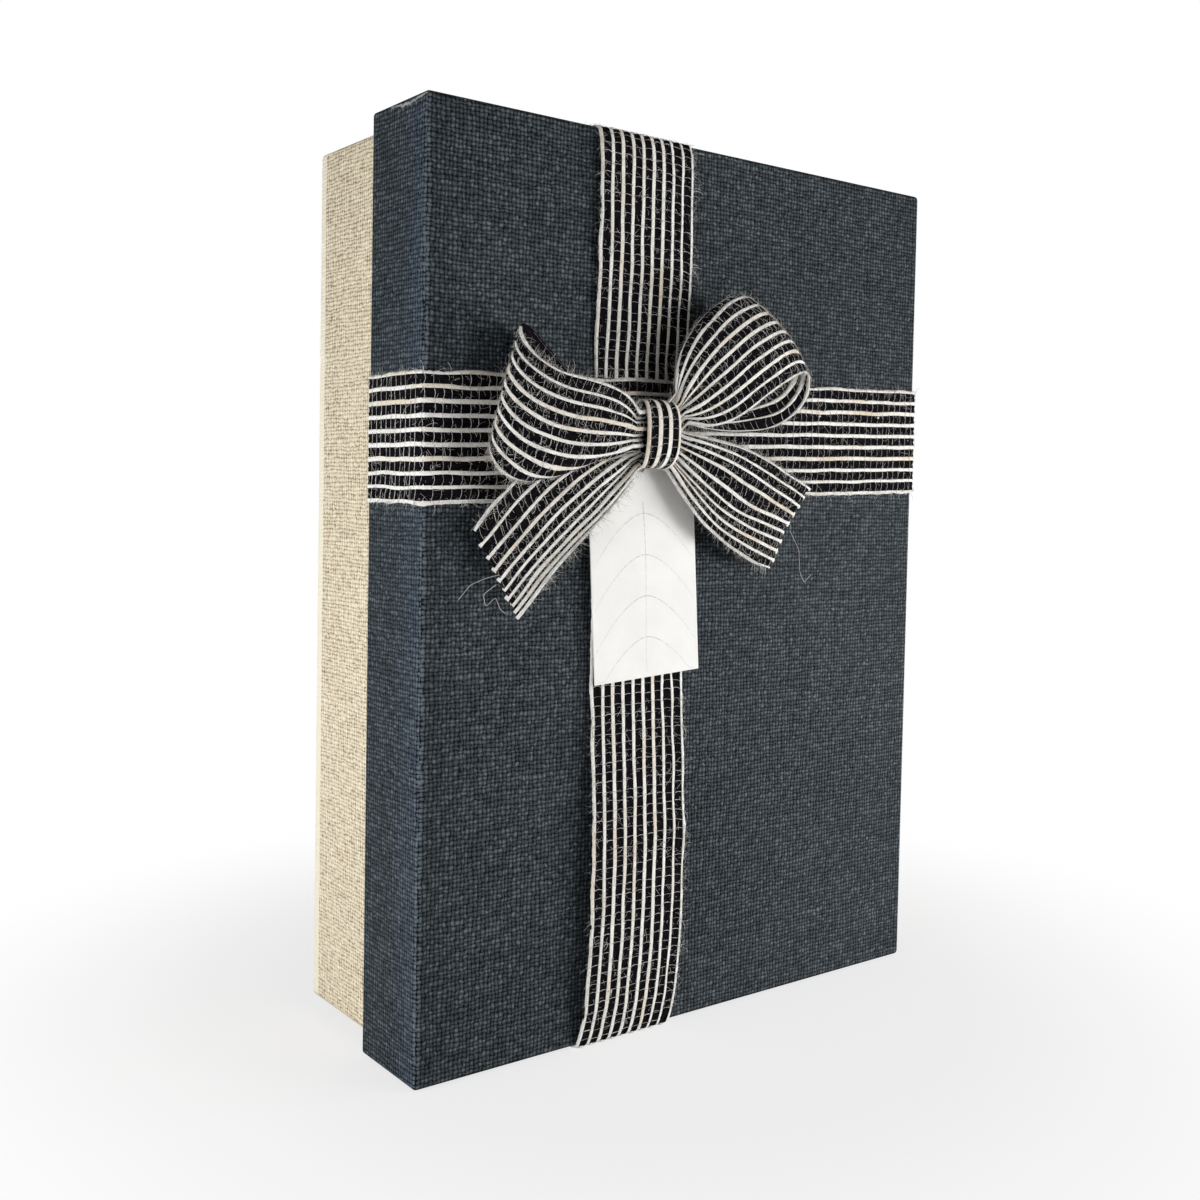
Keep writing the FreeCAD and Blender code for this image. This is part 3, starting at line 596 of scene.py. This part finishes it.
def soft_path(corners, softness):
    """Shares of the way along straight runs, and points smoothed by a moving average."""
    corners = array(corners, float)
    runs = distances(corners)
    far = linspace(0, runs[-1], int(runs[-1] / PATH_STEP) + 1)
    window = np.hanning(int(softness / PATH_STEP) * 2 + 3)
    window /= window.sum()
    half = len(window) // 2
    lines = [interp(far, runs, column) for column in corners.T]
    longer = [np.pad(line, half, "reflect", reflect_type="odd") for line in lines]
    return far / runs[-1], np.stack([np.convolve(line, window, "valid") for line in longer], 1)


def on_path(t, share, path):
    """The two values of a soft path at t."""
    return interp(t, share, path[:, 0]), interp(t, share, path[:, 1])


def stack(parts):
    """Several (points, faces, lay) put into one, with the face numbers moved on."""
    points, faces, lays = zip(*parts)
    starts = np.cumsum([0, *map(len, points)])
    faces = [rows + start for start, part in zip(starts, faces) for rows in part]
    return concatenate(points), faces, concatenate([lay.reshape(-1, 3) for lay in lays])


def black_sheet(run, over):
    """The ground: a grid on the shape, lifted by a sine into two ridges between yarns."""
    rows = int(run.length / SHEET_ROW) + 1
    t = run.at(linspace(0, run.length, rows, endpoint=not run.ring))[:, None]
    a = linspace(-1, 1, SHEET_COLUMNS)[None]
    ragged = 1 + over * 0.4 * drift((1, SHEET_COLUMNS), 9, 0.5) / run.length
    place, normal, wide = run.frame(t * ragged, a + 0 * t)
    relief = abs(sin(pi * (YARN_COUNT - 1) * (a + 1))) * clip(wide / 14, 0.2, 1)
    points = place + normal * (SHEET_RELIEF * relief)[..., None]
    lay = joined(t * run.length, a * RIBBON_WIDTH / 2, 3.0)
    quads = grid_faces(rows, SHEET_COLUMNS, run.ring)
    return points.reshape(-1, 3), [quads if run.side > 0 else quads[:, ::-1]], lay


def cream_yarns(run, over, stout, thin, tan):
    """The yarns: ovals along the shape that wander and swell a little, squeezed where it narrows."""
    count, loose = len(run.keep), 0 if run.ring else 1
    far = linspace(0, run.length, int(run.length * YARN_POINTS_PER_MM) + 1, endpoint=not run.ring)[None]
    size = count, far.shape[1]
    ends = 1 + over * rng.uniform(-0.2, 1.0, (count, 1)) / run.length
    wander = drift(size, run.length / 25, 0.012) * loose
    place, normal, wide = run.frame(run.at(far) * ends, run.home + wander)
    lumps = drift(size, run.length / 11, 0.09) + drift(size, run.length / 3, 0.10)
    half = stout * YARN_HALF[run.keep, None] * (1 + lumps * loose)
    half = minimum(half, (0.5 if run.ring else 0.38) * wide * 2 / (YARN_COUNT - 1))
    half = half * interp(far / run.length, (0.55, 0.7), (1, thin))
    half = where(run.turned_in(run.keep[:, None], far / run.length), YARN_HIDDEN, half)
    deep = minimum(half, YARN_DEPTH) * YARN_FLAT
    points, faces = tubes(place, normal, half, deep, YARN_SIDES, run.ring)
    angle = linspace(0, 2 * pi, YARN_SIDES, endpoint=False)
    tint = clip(YARN_TINT[run.keep] + tan + rng.uniform(0, 0.25, count), 0, 1)
    return points, faces, joined(far[:, :, None], angle, tint[:, None, None])


def cross_wefts(run, face, tidy):
    """Fine threads across each black band: some left out, the rest slanted and sagging by chance."""
    spots = arange(0.5 * WEFT_PITCH, run.length - 0.8, WEFT_PITCH)
    bands, marks = np.meshgrid(arange(YARN_COUNT - 1), spots, indexing="ij")
    bands, marks = bands.ravel()[:, None], marks.ravel()[:, None]
    kept = rng.uniform(0, 1, len(bands)) < 0.75 + 0.2 * tidy
    kept &= ~run.turned_in(bands, marks / run.length)[:, 0]
    bands, marks = bands[kept], marks[kept] + rng.normal(0, 0.7 - 0.5 * tidy, (kept.sum(), 1))
    slant = interp(bands, (0, 3, 8), (1.1, 0.2, -0.1)) + rng.normal(0, 0.8 - 0.6 * tidy, marks.shape)
    p = 0.05 + linspace(0, 1, WEFT_STEPS)[None] * rng.uniform(0.9 * tidy, 0.9, marks.shape)
    sag = rng.normal(0.5, 0.6 - 0.4 * tidy, marks.shape) * sin(pi * p)
    far = clip(marks + slant * (p - 0.5) + sag, 0, run.length)
    place, normal, wide = run.frame(run.at(far), (bands + p) * 2 / (YARN_COUNT - 1) - 1)
    lift = (0.42 + 0.25 * sin(pi * p)) * clip(wide / 16, 0.3, 1)
    half = rng.uniform(0.055, 0.125, marks.shape)
    points, faces = tubes(place + normal * (face * lift)[..., None], normal * face, half, half, FIBRE_SIDES)
    tint = rng.uniform(0, 1, marks.shape) ** 1.5 * tidy - 0.4 * (1 - tidy)
    return points, faces, joined((marks + 3 * p)[..., None], np.zeros(FIBRE_SIDES), tint[..., None])


def loose_hairs(run, count):
    """Long loose fibres, nearly half of them along the two edges."""
    edge = rng.uniform(0, 1, count) < HAIR_EDGE
    a = where(edge, sign(rng.uniform(-1, 1, count)) * 0.98, rng.uniform(-1, 1, count))
    t = rng.uniform(0.02, 0.98, count)
    _, first, last = run.bare
    clear = free(run.shape(t, a)) & ((a > -0.6) | (t < first - 0.04) | (t > last))
    edge, a, t = edge[clear], a[clear], t[clear]
    place, normal, _ = run.frame(t, a)
    hand = where(edge, sign(a), rng.normal(0, 1, len(t)))[:, None]
    _, ways = run.ways(t, a, hand, (0.2, 1), 0.7)
    return fibres(place + normal * HAIR_LIFT, ways, normal, rng.uniform(1.0, 4.5, len(t)),
                  rng.uniform(0.03, 0.075, len(t)))


def yarn_fuzz(run):
    """Short fibres that stand off either side of every yarn."""
    count = int(run.length * len(run.keep) * (LONG_FUZZ if run.length > LONG_RUN else SHORT_FUZZ))
    pick, t = rng.integers(0, len(run.keep), count), rng.uniform(0.01, 0.99, count)
    a = run.home[pick, 0]
    place, normal, _ = run.frame(t, a)
    outward, ways = run.ways(t, a, sign(rng.uniform(-1, 1, (count, 1))), (0.1, 0.8), 1)
    clear = free(place) & ~run.turned_in(run.keep[pick], t)
    starts = (place + outward * 0.45 + normal * 0.3)[clear]
    return fibres(starts, ways[clear], normal[clear], rng.uniform(0.7, 2.2, len(starts)),
                  rng.uniform(0.035, 0.065, len(starts)), 5, 0.5)


def pulled_thread(path):
    """A pulled thread along a smoothed path of points (x, distance before the lid, z)."""
    line = soft_path([(x, FRONT - off, z) for x, off, z in path], 1.5)[1][None, ::4]
    points, faces = tubes(line, TO_VIEWER, THREAD_HALF, THREAD_HALF, THREAD_SIDES)
    return points, faces, np.broadcast_to([0.0, 0.0, 0.8], points.shape)


def ribbon(node, shape, hairs, stout, ring=False, both=True, over=0.0,
           keep=range(YARN_COUNT), tidy=0.7, thin=1.0, bare=(0, 0.0, 0.0), strays=(), tan=0.0):
    """Weaves a ribbon on a shape in place of a CAD node. Stout is how thick the yarns are, over how
    far they stick out at the end, and thin how far they are squeezed past the middle. Bare says how
    many yarns from the edge are turned in and over what part of the length, strays are paths of
    pulled threads and tan browns every yarn."""
    run = Run(shape, ring, keep, bare)
    weave = piece(node + "_weave", *black_sheet(run, over), BLACK)
    skin = weave.modifiers.new("thickness", "SOLIDIFY")
    skin.thickness = SHEET_THICK * MM
    skin.offset = 0
    yarns = piece(node + "_yarns", *cream_yarns(run, over, stout, thin, tan), CREAM)
    parts = [cross_wefts(run, face, tidy) for face in ((1, -1) if both else (1,))]
    parts += [loose_hairs(run, hairs), yarn_fuzz(run), *map(pulled_thread, strays)]
    lint = piece(node + "_lint", *stack(parts), FIBRE)

    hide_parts(node)
    print(node, round(run.length, 1), "mm, points", len(yarns.data.vertices), len(lint.data.vertices))


print("ribbon recipe ready")

# %% [markdown]
# ## The two flat runs
# One length of ribbon goes up the lid's face and one goes across it, each turned in over the rim.
# A path is given by its corners and rounded by a moving average, as pulled ribbon is.
# The upright run is held down only by the crossing, so above and below it the cloth stands a few
# millimetres off the paper, and its foot leans a little to the left.

# %% flat ribbons
RIBBON_THICK = 0.7
LID_WALL = 3.3
TURN_IN = 14.0
PULLED_ROUND = 1.6
ACROSS_Z, SLOPE = 205.0, 0.029
OFF_LOW, OFF_HIGH = 4.6, 2.2
LEAN_LOW, LEAN_RUN = 2.9, 65.0
ASIDE, NARROWED = 0.5, 0.7
proud = RIBBON_THICK / 2
inset = LID_WALL + proud
half_ribbon = RIBBON_WIDTH / 2
low_z, high_z = lid_low[2] - proud, lid_high[2] + proud
low_in, high_in = lid_low[2] + inset, lid_high[2] - inset
left_x, right_x = lid_low[0] - proud, lid_high[0] + proud
left_in, right_in = lid_low[0] + inset, lid_high[0] - inset
at_rim, turned, flat = RIM + proud, RIM - TURN_IN, FRONT - proud
off_low, off_high = FRONT - OFF_LOW, FRONT - OFF_HIGH
path_up = soft_path([
    (turned, low_in), (at_rim, low_in), (at_rim, low_z), (FRONT + 2, low_z), (FRONT - 0.9, low_z + 0.5),
    (off_low + 2.3, low_z + 4.5), (off_low + 0.8, low_z + 13), (off_low, 32), (off_low, 70),
    (off_low + 1.6, 98), (FRONT - 1.5, 122), (FRONT - 1.2, 150), (flat, 180), (flat, 230),
    (off_high, 262), (off_high, high_z - 11), (off_high + 0.4, high_z - 4.5), (FRONT - 0.5, high_z - 0.6),
    (FRONT + 2.5, high_z), (at_rim, high_z), (at_rim, high_in), (turned, high_in)], PULLED_ROUND)
over_it = FRONT - 3 * proud
path_across = soft_path([
    (left_in, turned), (left_in, at_rim), (left_x, at_rim), (left_x, flat),
    (BOW_X - half_ribbon - 3, flat), (BOW_X - half_ribbon, over_it),
    (BOW_X + half_ribbon, over_it), (BOW_X + half_ribbon + 3, flat),
    (right_x, flat), (right_x, at_rim), (right_in, at_rim), (right_in, turned)], PULLED_ROUND)


def up_the_lid(t, a):
    """The upright run: its path gives y and z, a goes from right to left, and its foot leans left."""
    y, z = on_path(t, *path_up)
    lean = LEAN_LOW * clip(1 - z / LEAN_RUN, 0, 1) ** 2
    return joined(BOW_X + ASIDE - lean - a * (half_ribbon - NARROWED), y, z)


def across_the_lid(t, a):
    """The level run: its path gives x and y, and it climbs a little to the right."""
    x, y = on_path(t, *path_across)
    return joined(x, y, ACROSS_Z + a * half_ribbon + SLOPE * x)


ribbon("ribbon_vertical", up_the_lid, hairs=1300, stout=1.7, both=False,
       tidy=1.0)
ribbon("ribbon_horizontal", across_the_lid,
       hairs=1000, stout=1.75, both=False, tidy=1.0)

# %% [markdown]
# ## The bow
# Each loop leaves the knot, swells to a peak, bends round and comes back behind. Along the loop the
# depth is a blend of sines, across it the width flares from the pinched root to nearly the whole
# ribbon, and close to the knot the ribbon falls into soft pleats. The tails leave the knot lower
# down, spread and end in slanted, frayed cuts.

# %% loops and tails
LEFT_LOOP = Form(
    angle=167.8, rise=-2.4, start=6, reach=61, lean=1, fold=0.5, root=8.8, back_root=4, half=19.3,
    flare=5, back_flare=1.5, sag=8.6, lift=8, lift_power=3,
    roll_edge=1, roll_near=0.1, roll_far=0.8, roll_radius=5.3)
RIGHT_LOOP = Form(
    angle=32.5, rise=1.8, start=6.5, reach=61, lean=7.5, fold=4, root=5.3, back_root=3, half=20,
    flare=4.5, back_flare=2.6, sag=-8, lift=-12.5, lift_power=1,
    roll_edge=-1, roll_near=0.7, roll_far=0.7, roll_radius=2.5)
LEFT_TAIL = Form(
    angle=218.3, rise=1.5, start=8.8, reach=75.4, cut=-5.4, root=8.2, half=15.7, flare=4.1,
    curl=2.1, pleat=0.5, crowd=0.32, wave=0.3, arch=4.7, swing=0)
RIGHT_TAIL = Form(
    angle=-25.5, rise=0, start=6.5, reach=72.8, cut=4.6, root=7.2, half=17.6, flare=2,
    curl=0, pleat=2.2, crowd=0.0, wave=0.5, arch=0, swing=4.2)
ROOT_RUN = 5.0
LOOP_PEAK, LOOP_BEND, LOOP_LOW, LOOP_CROWN = 17.1, 11.3, 3.9, 1.5
FRONT_ROOT, BACK_ROOT = 10.6, 6.7
TAIL_ROOT, TAIL_END, TAIL_BELLY = 8.2, 5.6, 1.5
ROLL_MOST = 2.4
PLEAT_DEPTH, LOOP_PLEAT_RUN, TAIL_PLEAT_RUN = 0.9, 16, 20


def bow_place(form, along, cross, depth):
    """A point from its distance along and across a bow piece's axis and its depth before the lid."""
    angle = math.radians(form.angle)
    upwards = 1 if math.cos(angle) > 0 else -1
    x = BOW_X + along * math.cos(angle) - upwards * cross * math.sin(angle)
    z = BOW_Z + form.rise + along * math.sin(angle) + upwards * cross * math.cos(angle)
    return joined(x, FRONT - depth, z)


def half_width(form, along, back=""):
    """Half the ribbon's spread: narrow in the knot, then flaring out to the full half width."""
    out = clip((along - form.start - ROOT_RUN) / (form.reach - form.start - ROOT_RUN), 0, 1)
    root = getattr(form, back + "root")
    return root + (form.half - root) * (1 - (1 - out) ** getattr(form, back + "flare"))


def rolled(form, a, half, out):
    """The distance across and how far behind, with one edge rolled under round a radius."""
    edge = form.roll_edge
    start = clip(form.roll_near + (form.roll_far - form.roll_near) * (out - 0.3) / 0.7,
                 form.roll_near, form.roll_far) * half
    past = maximum(a * edge * half - start, 0) / form.roll_radius
    bent = minimum(past, ROLL_MOST)
    across = minimum(a * edge * half, start) + form.roll_radius * sin(bent)
    return across * edge, form.roll_radius * (1 - cos(bent))


def pleats(form, along, a, run):
    """Soft pleats that die away from the knot: three waves across, by a bell curve along."""
    return PLEAT_DEPTH * np.exp(-((along - form.start) / run) ** 2) * cos(3 * pi * a)


def loop(form):
    """A loop's shape: out by the sine of the turn, its depth over a peak, a bend and a low."""
    def shape(t, a):
        t, a = np.broadcast_arrays(t, a)
        turn = pi * t
        out = sin(turn)
        reach = form.reach + form.lean * a + form.fold * (1 - a ** 2)
        along = form.start + (reach - form.start) * out
        ahead = turn <= pi / 2
        drop = where(ahead, form.sag, form.lift * out ** form.lift_power) * sin(2 * turn)
        half = where(ahead, half_width(form, along), half_width(form, along, "back_"))
        across, behind = rolled(form, a, half, out)
        root = where(ahead, FRONT_ROOT, BACK_ROOT)
        extreme = where(ahead, LOOP_PEAK, LOOP_LOW) - (root + LOOP_BEND) / 2
        depth = root + (LOOP_BEND - root) * out ** 2 + extreme * abs(sin(2 * turn))
        depth = depth + LOOP_CROWN * maximum(sin(2 * turn), 0) * (1 - a ** 2) - behind * cos(turn)
        gathered = pleats(form, along, a, LOOP_PLEAT_RUN) * cos(turn)
        return bow_place(form, along, -across - drop, depth - gathered)
    return shape


def tail(form):
    """A tail's shape: out along its axis, bellied, with a pleat along its middle and a slanted end.
    Half a sine arches the whole tail sideways, and another swings only its lower part."""
    def shape(t, a):
        t, a = np.broadcast_arrays(t, a)
        along = form.start + (form.reach - form.start) * t
        half = half_width(form, along)
        along = along - form.cut * a * t / 2
        depth = TAIL_ROOT + (TAIL_END - TAIL_ROOT) * t + TAIL_BELLY * sin(pi * t)
        depth = depth + form.curl * maximum(a, 0) ** 2 * t - form.pleat * (1 - abs(a))
        gathered = pleats(form, along, a, TAIL_PLEAT_RUN)
        cross = -(a + form.crowd * (1 - a ** 2)) * half
        ripple = sin(2 * pi * (1.2 * t + 0.35 * a)) * sin(pi * clip(t, 0, 1))
        lower = clip((a + 0.45) / 0.5, 0, 1)
        swing = form.swing * lower ** 2 * (3 - 2 * lower) * sin(pi * t)
        cross = cross + form.wave * ripple + form.arch * sin(pi * t) - swing
        return bow_place(form, along, cross, depth + gathered + 0.4 * swing)
    return shape


ribbon("bow_loop_left", loop(LEFT_LOOP), hairs=900, stout=1.35, thin=0.5,
       bare=(2, 0.53, 0.85))
ribbon("bow_loop_right", loop(RIGHT_LOOP), hairs=900, stout=1.35, thin=0.35)
left_strays = [
    [(-86, 6, 160), (-91, 6, 159), (-95, 4, 157), (-99, 3, 152)],
    [(-87, 6, 157), (-91, 5, 154), (-89.5, 4, 150), (-86.5, 5, 153), (-84.8, 5, 149), (-82, 4, 147.5)]]
right_strays = [[(37.6, 6, 173.5), (42.6, 6, 166), (44.2, 5, 158), (46.5, 5, 154), (51.4, 4, 157)]]
ribbon("bow_tail_left", tail(LEFT_TAIL), hairs=600, stout=1.3, over=1.1,
       strays=left_strays)
ribbon("bow_tail_right", tail(RIGHT_TAIL), hairs=600, stout=1.3, over=1.4,
       strays=right_strays)

# %% [markdown]
# ## The knot
# The band round the bow's middle is the same ribbon folded in three along its length, so four of its
# ten yarns show on the outside. Round the band the section is a rounded rectangle, widest in front.
# Across it, the middle third lies on top and the two outer thirds are turned under.

# %% knot
knot_middle, knot_half = middle_mm("bow_knot")
KNOT_SQUARE = 2.0 / 2.8
KNOT_IN_X, KNOT_IN_Y, KNOT_IN_Z = 1.0, 0.6, 0.5
KNOT_BARREL, KNOT_LEAN, KNOT_BOW, KNOT_ASIDE = 0.5, 0.4, 1.0, 0.4
KNOT_YARNS = (3, 4, 5, 6)
KNOT_STOUT = array([[1.0], [2.4], [2.8], [1.2]])
LAYER, FOLD_RUN = 0.8, 0.12


def knot(t, a):
    """A rounded rectangle round the bow, with the ribbon's width folded in three layers."""
    t, a = np.broadcast_arrays(t, a)
    turn = 2 * pi * t
    fold = 3 * a
    across = where(abs(fold) <= 1, fold, sign(fold) * 2 - fold)
    under = LAYER * clip((abs(fold) - 1) / FOLD_RUN, 0, 1) * where(fold > 0, 1, 2)
    front, up = cos(turn), sin(turn)
    round_front = sign(front) * abs(front) ** KNOT_SQUARE
    round_up = sign(up) * abs(up) ** KNOT_SQUARE
    swell = where(up > 0, 0.86 + 0.14 * abs(front), 0.66 + 0.34 * abs(front) ** 0.7)
    barrel = KNOT_BARREL * (1 - across ** 2)
    x = (knot_middle[0] + across * (knot_half[0] - KNOT_IN_X) * swell
         + KNOT_LEAN * up - KNOT_BOW * up ** 2 + KNOT_ASIDE)
    y = knot_middle[1] - (knot_half[1] - under - KNOT_IN_Y + barrel) * round_front
    z = knot_middle[2] + (knot_half[2] - under - KNOT_IN_Z) * round_up
    return joined(x, y, z)


ribbon("bow_knot", knot, hairs=120, stout=KNOT_STOUT, ring=True, both=False,
       keep=KNOT_YARNS, tan=0.25)

# %% [markdown]
# ## The pinched middle
# Inside the knot the bow's ribbon is gathered to a bundle. It is hidden, but the ends of the bundle
# can be glimpsed between the loops, so it is a pleated drum rather than a plain block: an oval whose
# radius ripples round it.

# %% gathered middle
GATHER_RINGS, GATHER_SIDES, GATHER_PLEATS = 9, 96, 14
gather_middle, gather_half = middle_mm("bow_gather")
turn = linspace(0, 2 * pi, GATHER_SIDES, endpoint=False)[None]
far = linspace(-1, 1, GATHER_RINGS)[:, None]
ripple = 0.72 + 0.08 * cos(GATHER_PLEATS * turn) - 0.06 * far ** 2
bundle = joined(gather_middle[0] + far * gather_half[0],
                gather_middle[1] + gather_half[1] * ripple * cos(turn),
                gather_middle[2] + gather_half[2] * ripple * sin(turn))
index = arange(GATHER_RINGS * GATHER_SIDES).reshape(GATHER_RINGS, GATHER_SIDES)
beside = roll(index, -1, 1)
walls = np.stack([index[:-1], beside[:-1], beside[1:], index[1:]], -1).reshape(-1, 4)
lay = joined(far * 3.5, turn * 6, 3.0)
pinched = piece("bow_gather_folds", bundle.reshape(-1, 3), [walls, index[:1, ::-1], index[-1:]],
                lay, BLACK)
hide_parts("bow_gather")
print("gathered middle", index.size, "points")

# %% [markdown]
# ## The tag
# The tag is plain off-white card on a twisted cotton string that goes round the dab of glue behind
# the bow. Fine leaf veins are printed on the card in silver ink: one upright vein and pairs of
# arches that fall away from it. The ink is very thin flat strips on the card.

# %% tag
TAG_TILT = math.radians(3.7)
TAG_DROP, TAG_LENGTH, TAG_WIDTH = 7.5, 74.8, 44.5
HANG_X = BOW_X - 1.3
STEM_TOP, STEM_RUN, STEM_SWAY = 15, 58, 0.5
VEIN_TOPS = array([19, 33, 47, 61])[:, None]
VEIN_FALL, VEIN_HALF, VEIN_POINTS = 17, 0.13, 40
INK_LIFT, INK_THICK, INK_SIDES = 0.015, 0.02, 6
tag_front = box_mm("tag_card")[0][1]

card = Finish("tag_card_paper", 0.62, 0.3)
place = card.place()
mottle, tooth = card.noise(place, 90, 4.0), card.noise(place, 1800, 2.0)
card.colour(card.blend(card.remap(mottle, 0.3, 0.7), (0.80, 0.79, 0.76, 1), (0.84, 0.83, 0.80, 1)))
card.bump(tooth, 0.00004)
dress(card.made, "tag_card")

foil = Finish("silver_ink", 0.4, 0.5)
rub_and_sheen = foil.noise(foil.place(), 900, 3.0)
foil.colour(foil.blend(foil.remap(rub_and_sheen, 0.35, 0.65), (0.42, 0.42, 0.43, 1), (0.72, 0.72, 0.71, 1)))


def hung(x, y, z):
    """A place measured from where the tag hangs, turned by its tilt."""
    return joined(HANG_X - z * math.sin(TAG_TILT) + x * math.cos(TAG_TILT), y,
                  BOW_Z + z * math.cos(TAG_TILT) + x * math.sin(TAG_TILT))


def on_tag(across, down):
    """A place on the card's face, by its distance right of the middle and below the card's top."""
    return hung(across, tag_front - INK_LIFT, -(TAG_DROP + down))


u = linspace(0, 1, VEIN_POINTS)[None]
stem = on_tag(STEM_SWAY * sin(5 * u), STEM_TOP + STEM_RUN * u)
down = minimum(VEIN_TOPS + VEIN_FALL * u ** 1.7, TAG_LENGTH - 0.8)
arches = [on_tag(hand * (TAG_WIDTH / 2 - 1) * u, down) for hand in (-1, 1)]
veins = concatenate([stem, *arches])
points, faces = tubes(veins, TO_VIEWER, VEIN_HALF * (1.05 - 0.7 * u), INK_THICK, INK_SIDES)
piece("tag_foil_veins", points, faces, None, foil.made, "tag", "card")
print("tag veins", len(veins))

# %% tag string
STRING_RING, STRING_REAR, STRING_FRONT, STRING_LOW = 6.15, 2.1, 5.0, 10.05
STRAND_OUT, STRAND_HALF, STRAND_SIDES, STRAND_TURN = 0.15, 0.18, 6, 0.9

cotton = Finish("cotton_string", 0.9, 0.15)
far, angle, strand = cotton.lay()
streak = cotton.noise(cotton.vector(cotton.times(far, 0.4), angle, strand), 2.0, 2.0)
cotton.colour(cotton.blend(cotton.remap(streak, 0.35, 0.65), (0.62, 0.58, 0.50, 1), (0.80, 0.77, 0.70, 1)))
cotton.bump(streak, 0.0001)

turn = linspace(0.48 * pi, -0.16 * pi, 9)
right_half = joined(STRING_RING * cos(turn), -STRING_REAR, STRING_RING * sin(turn))
left_half = right_half[::-1] * (-1, 1, 1)
hole = [(0.2, -STRING_REAR, -STRING_LOW), (0, -STRING_FRONT, -STRING_LOW), (-1.9, -3.95, -7.6)]
line = soft_path(concatenate([right_half, hole, left_half]), 0.6)[1][::2]
x, y, z = line.T
tilted = hung(x, FRONT + y, z)
ahead = unit(np.gradient(tilted, axis=0))
reference = array([0.35, 1.0, 0.25])
normal = unit(reference - ahead * (ahead @ reference)[:, None])
aside = np.cross(ahead, normal)
number = arange(len(tilted))[None]
wind = number * STRAND_TURN + array([[0], [pi]])
strands = tilted + STRAND_OUT * (normal * cos(wind)[..., None] + aside * sin(wind)[..., None])
points, faces = tubes(strands, normal, STRAND_HALF, STRAND_HALF, STRAND_SIDES)
lay = joined(number[..., None] * 0.4, arange(STRAND_SIDES), arange(2)[:, None, None])
string = piece("tag_string_twist", points, faces, lay, cotton.made, "tag", "string")
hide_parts("tag_string")
print("string", len(points), "points, length", distances(tilted)[-1].round(1))

# %% [markdown]
# ## Floor and light
# The box stands on white. A wide floor takes its shadow, and away from the box the floor glows to
# the camera alone, so that it melts into the white background. A soft key lamp stands in front on
# the right, a low lamp near the floor brightens the foot of the lid, a third lamp lights the left
# side, and the world fills the rest.

# %% floor
FAR = 4
SHADOW_NEAR, SHADOW_FAR, GLOW_NEAR = 0.10, 0.30, 0.72

paper = Finish("floor_white", 0.9, 0.1)
distance = paper.add("VectorMath", {0: paper.place()}, operation="LENGTH").outputs["Value"]
seen = paper.add("LightPath").outputs["Is Camera Ray"]
paper.shader.inputs["Base Color"].default_value = (0.95, 0.95, 0.95, 1)
glow = paper.add("Emission")
share = paper.times(paper.remap(distance, SHADOW_NEAR, SHADOW_FAR, GLOW_NEAR, 1.0), seen)
both = paper.add("MixShader", {0: share, 1: paper.shader.outputs[0], 2: glow.outputs[0]})
paper.tree.links.new(both.outputs[0], paper.tree.nodes["Material Output"].inputs[0])
floor_mesh = bpy.data.meshes.new("floor")
floor_mesh.from_pydata([(-FAR, -FAR, 0), (FAR, -FAR, 0), (FAR, FAR, 0), (-FAR, FAR, 0)], [], [(0, 1, 2, 3)])
floor_mesh.materials.append(paper.made)
floor = shown("floor", floor_mesh)
print("floor at z 0")

# %% light
AMBIENT = 0.2

world = bpy.data.worlds.new("studio")
world.use_nodes = True
bpy.context.scene.world = world
tree = world.node_tree
background = tree.nodes["Background"]
background.inputs["Color"].default_value = (1, 1, 1, 1)
path = tree.nodes.new("ShaderNodeLightPath")
level = tree.nodes.new("ShaderNodeMapRange")
tree.links.new(path.outputs["Is Camera Ray"], level.inputs["Value"])
level.inputs["To Min"].default_value = AMBIENT
tree.links.new(level.outputs[0], background.inputs["Strength"])


def lamp(name, at, aim, size, power, colour=(1, 1, 1)):
    """A square area lamp at a place, turned to look at a point."""
    made = shown(name, bpy.data.lights.new(name, "AREA"))
    made.data.size, made.data.energy, made.data.color = size, power, colour
    back = unit(np.subtract(at, aim))
    right = unit(np.cross((0, 0, 1), back))
    turn = Matrix(np.stack([right, np.cross(back, right), back], 1).tolist())
    made.matrix_world = Matrix.Translation(at) @ turn.to_4x4()


lamp("key_lamp", (0.76, -1.08, 0.3), (0, 0, 0.05), 0.5, 7.9)
lamp("low_lamp", (0.55, -0.33, 0.03), (0.04, 0, 0.02), 0.22, 4.0)
lamp("side_lamp", (-0.56, -0.09, 0.03), (-0.11, 0, 0.03), 0.32, 3.6, (0.97, 0.985, 1.0))
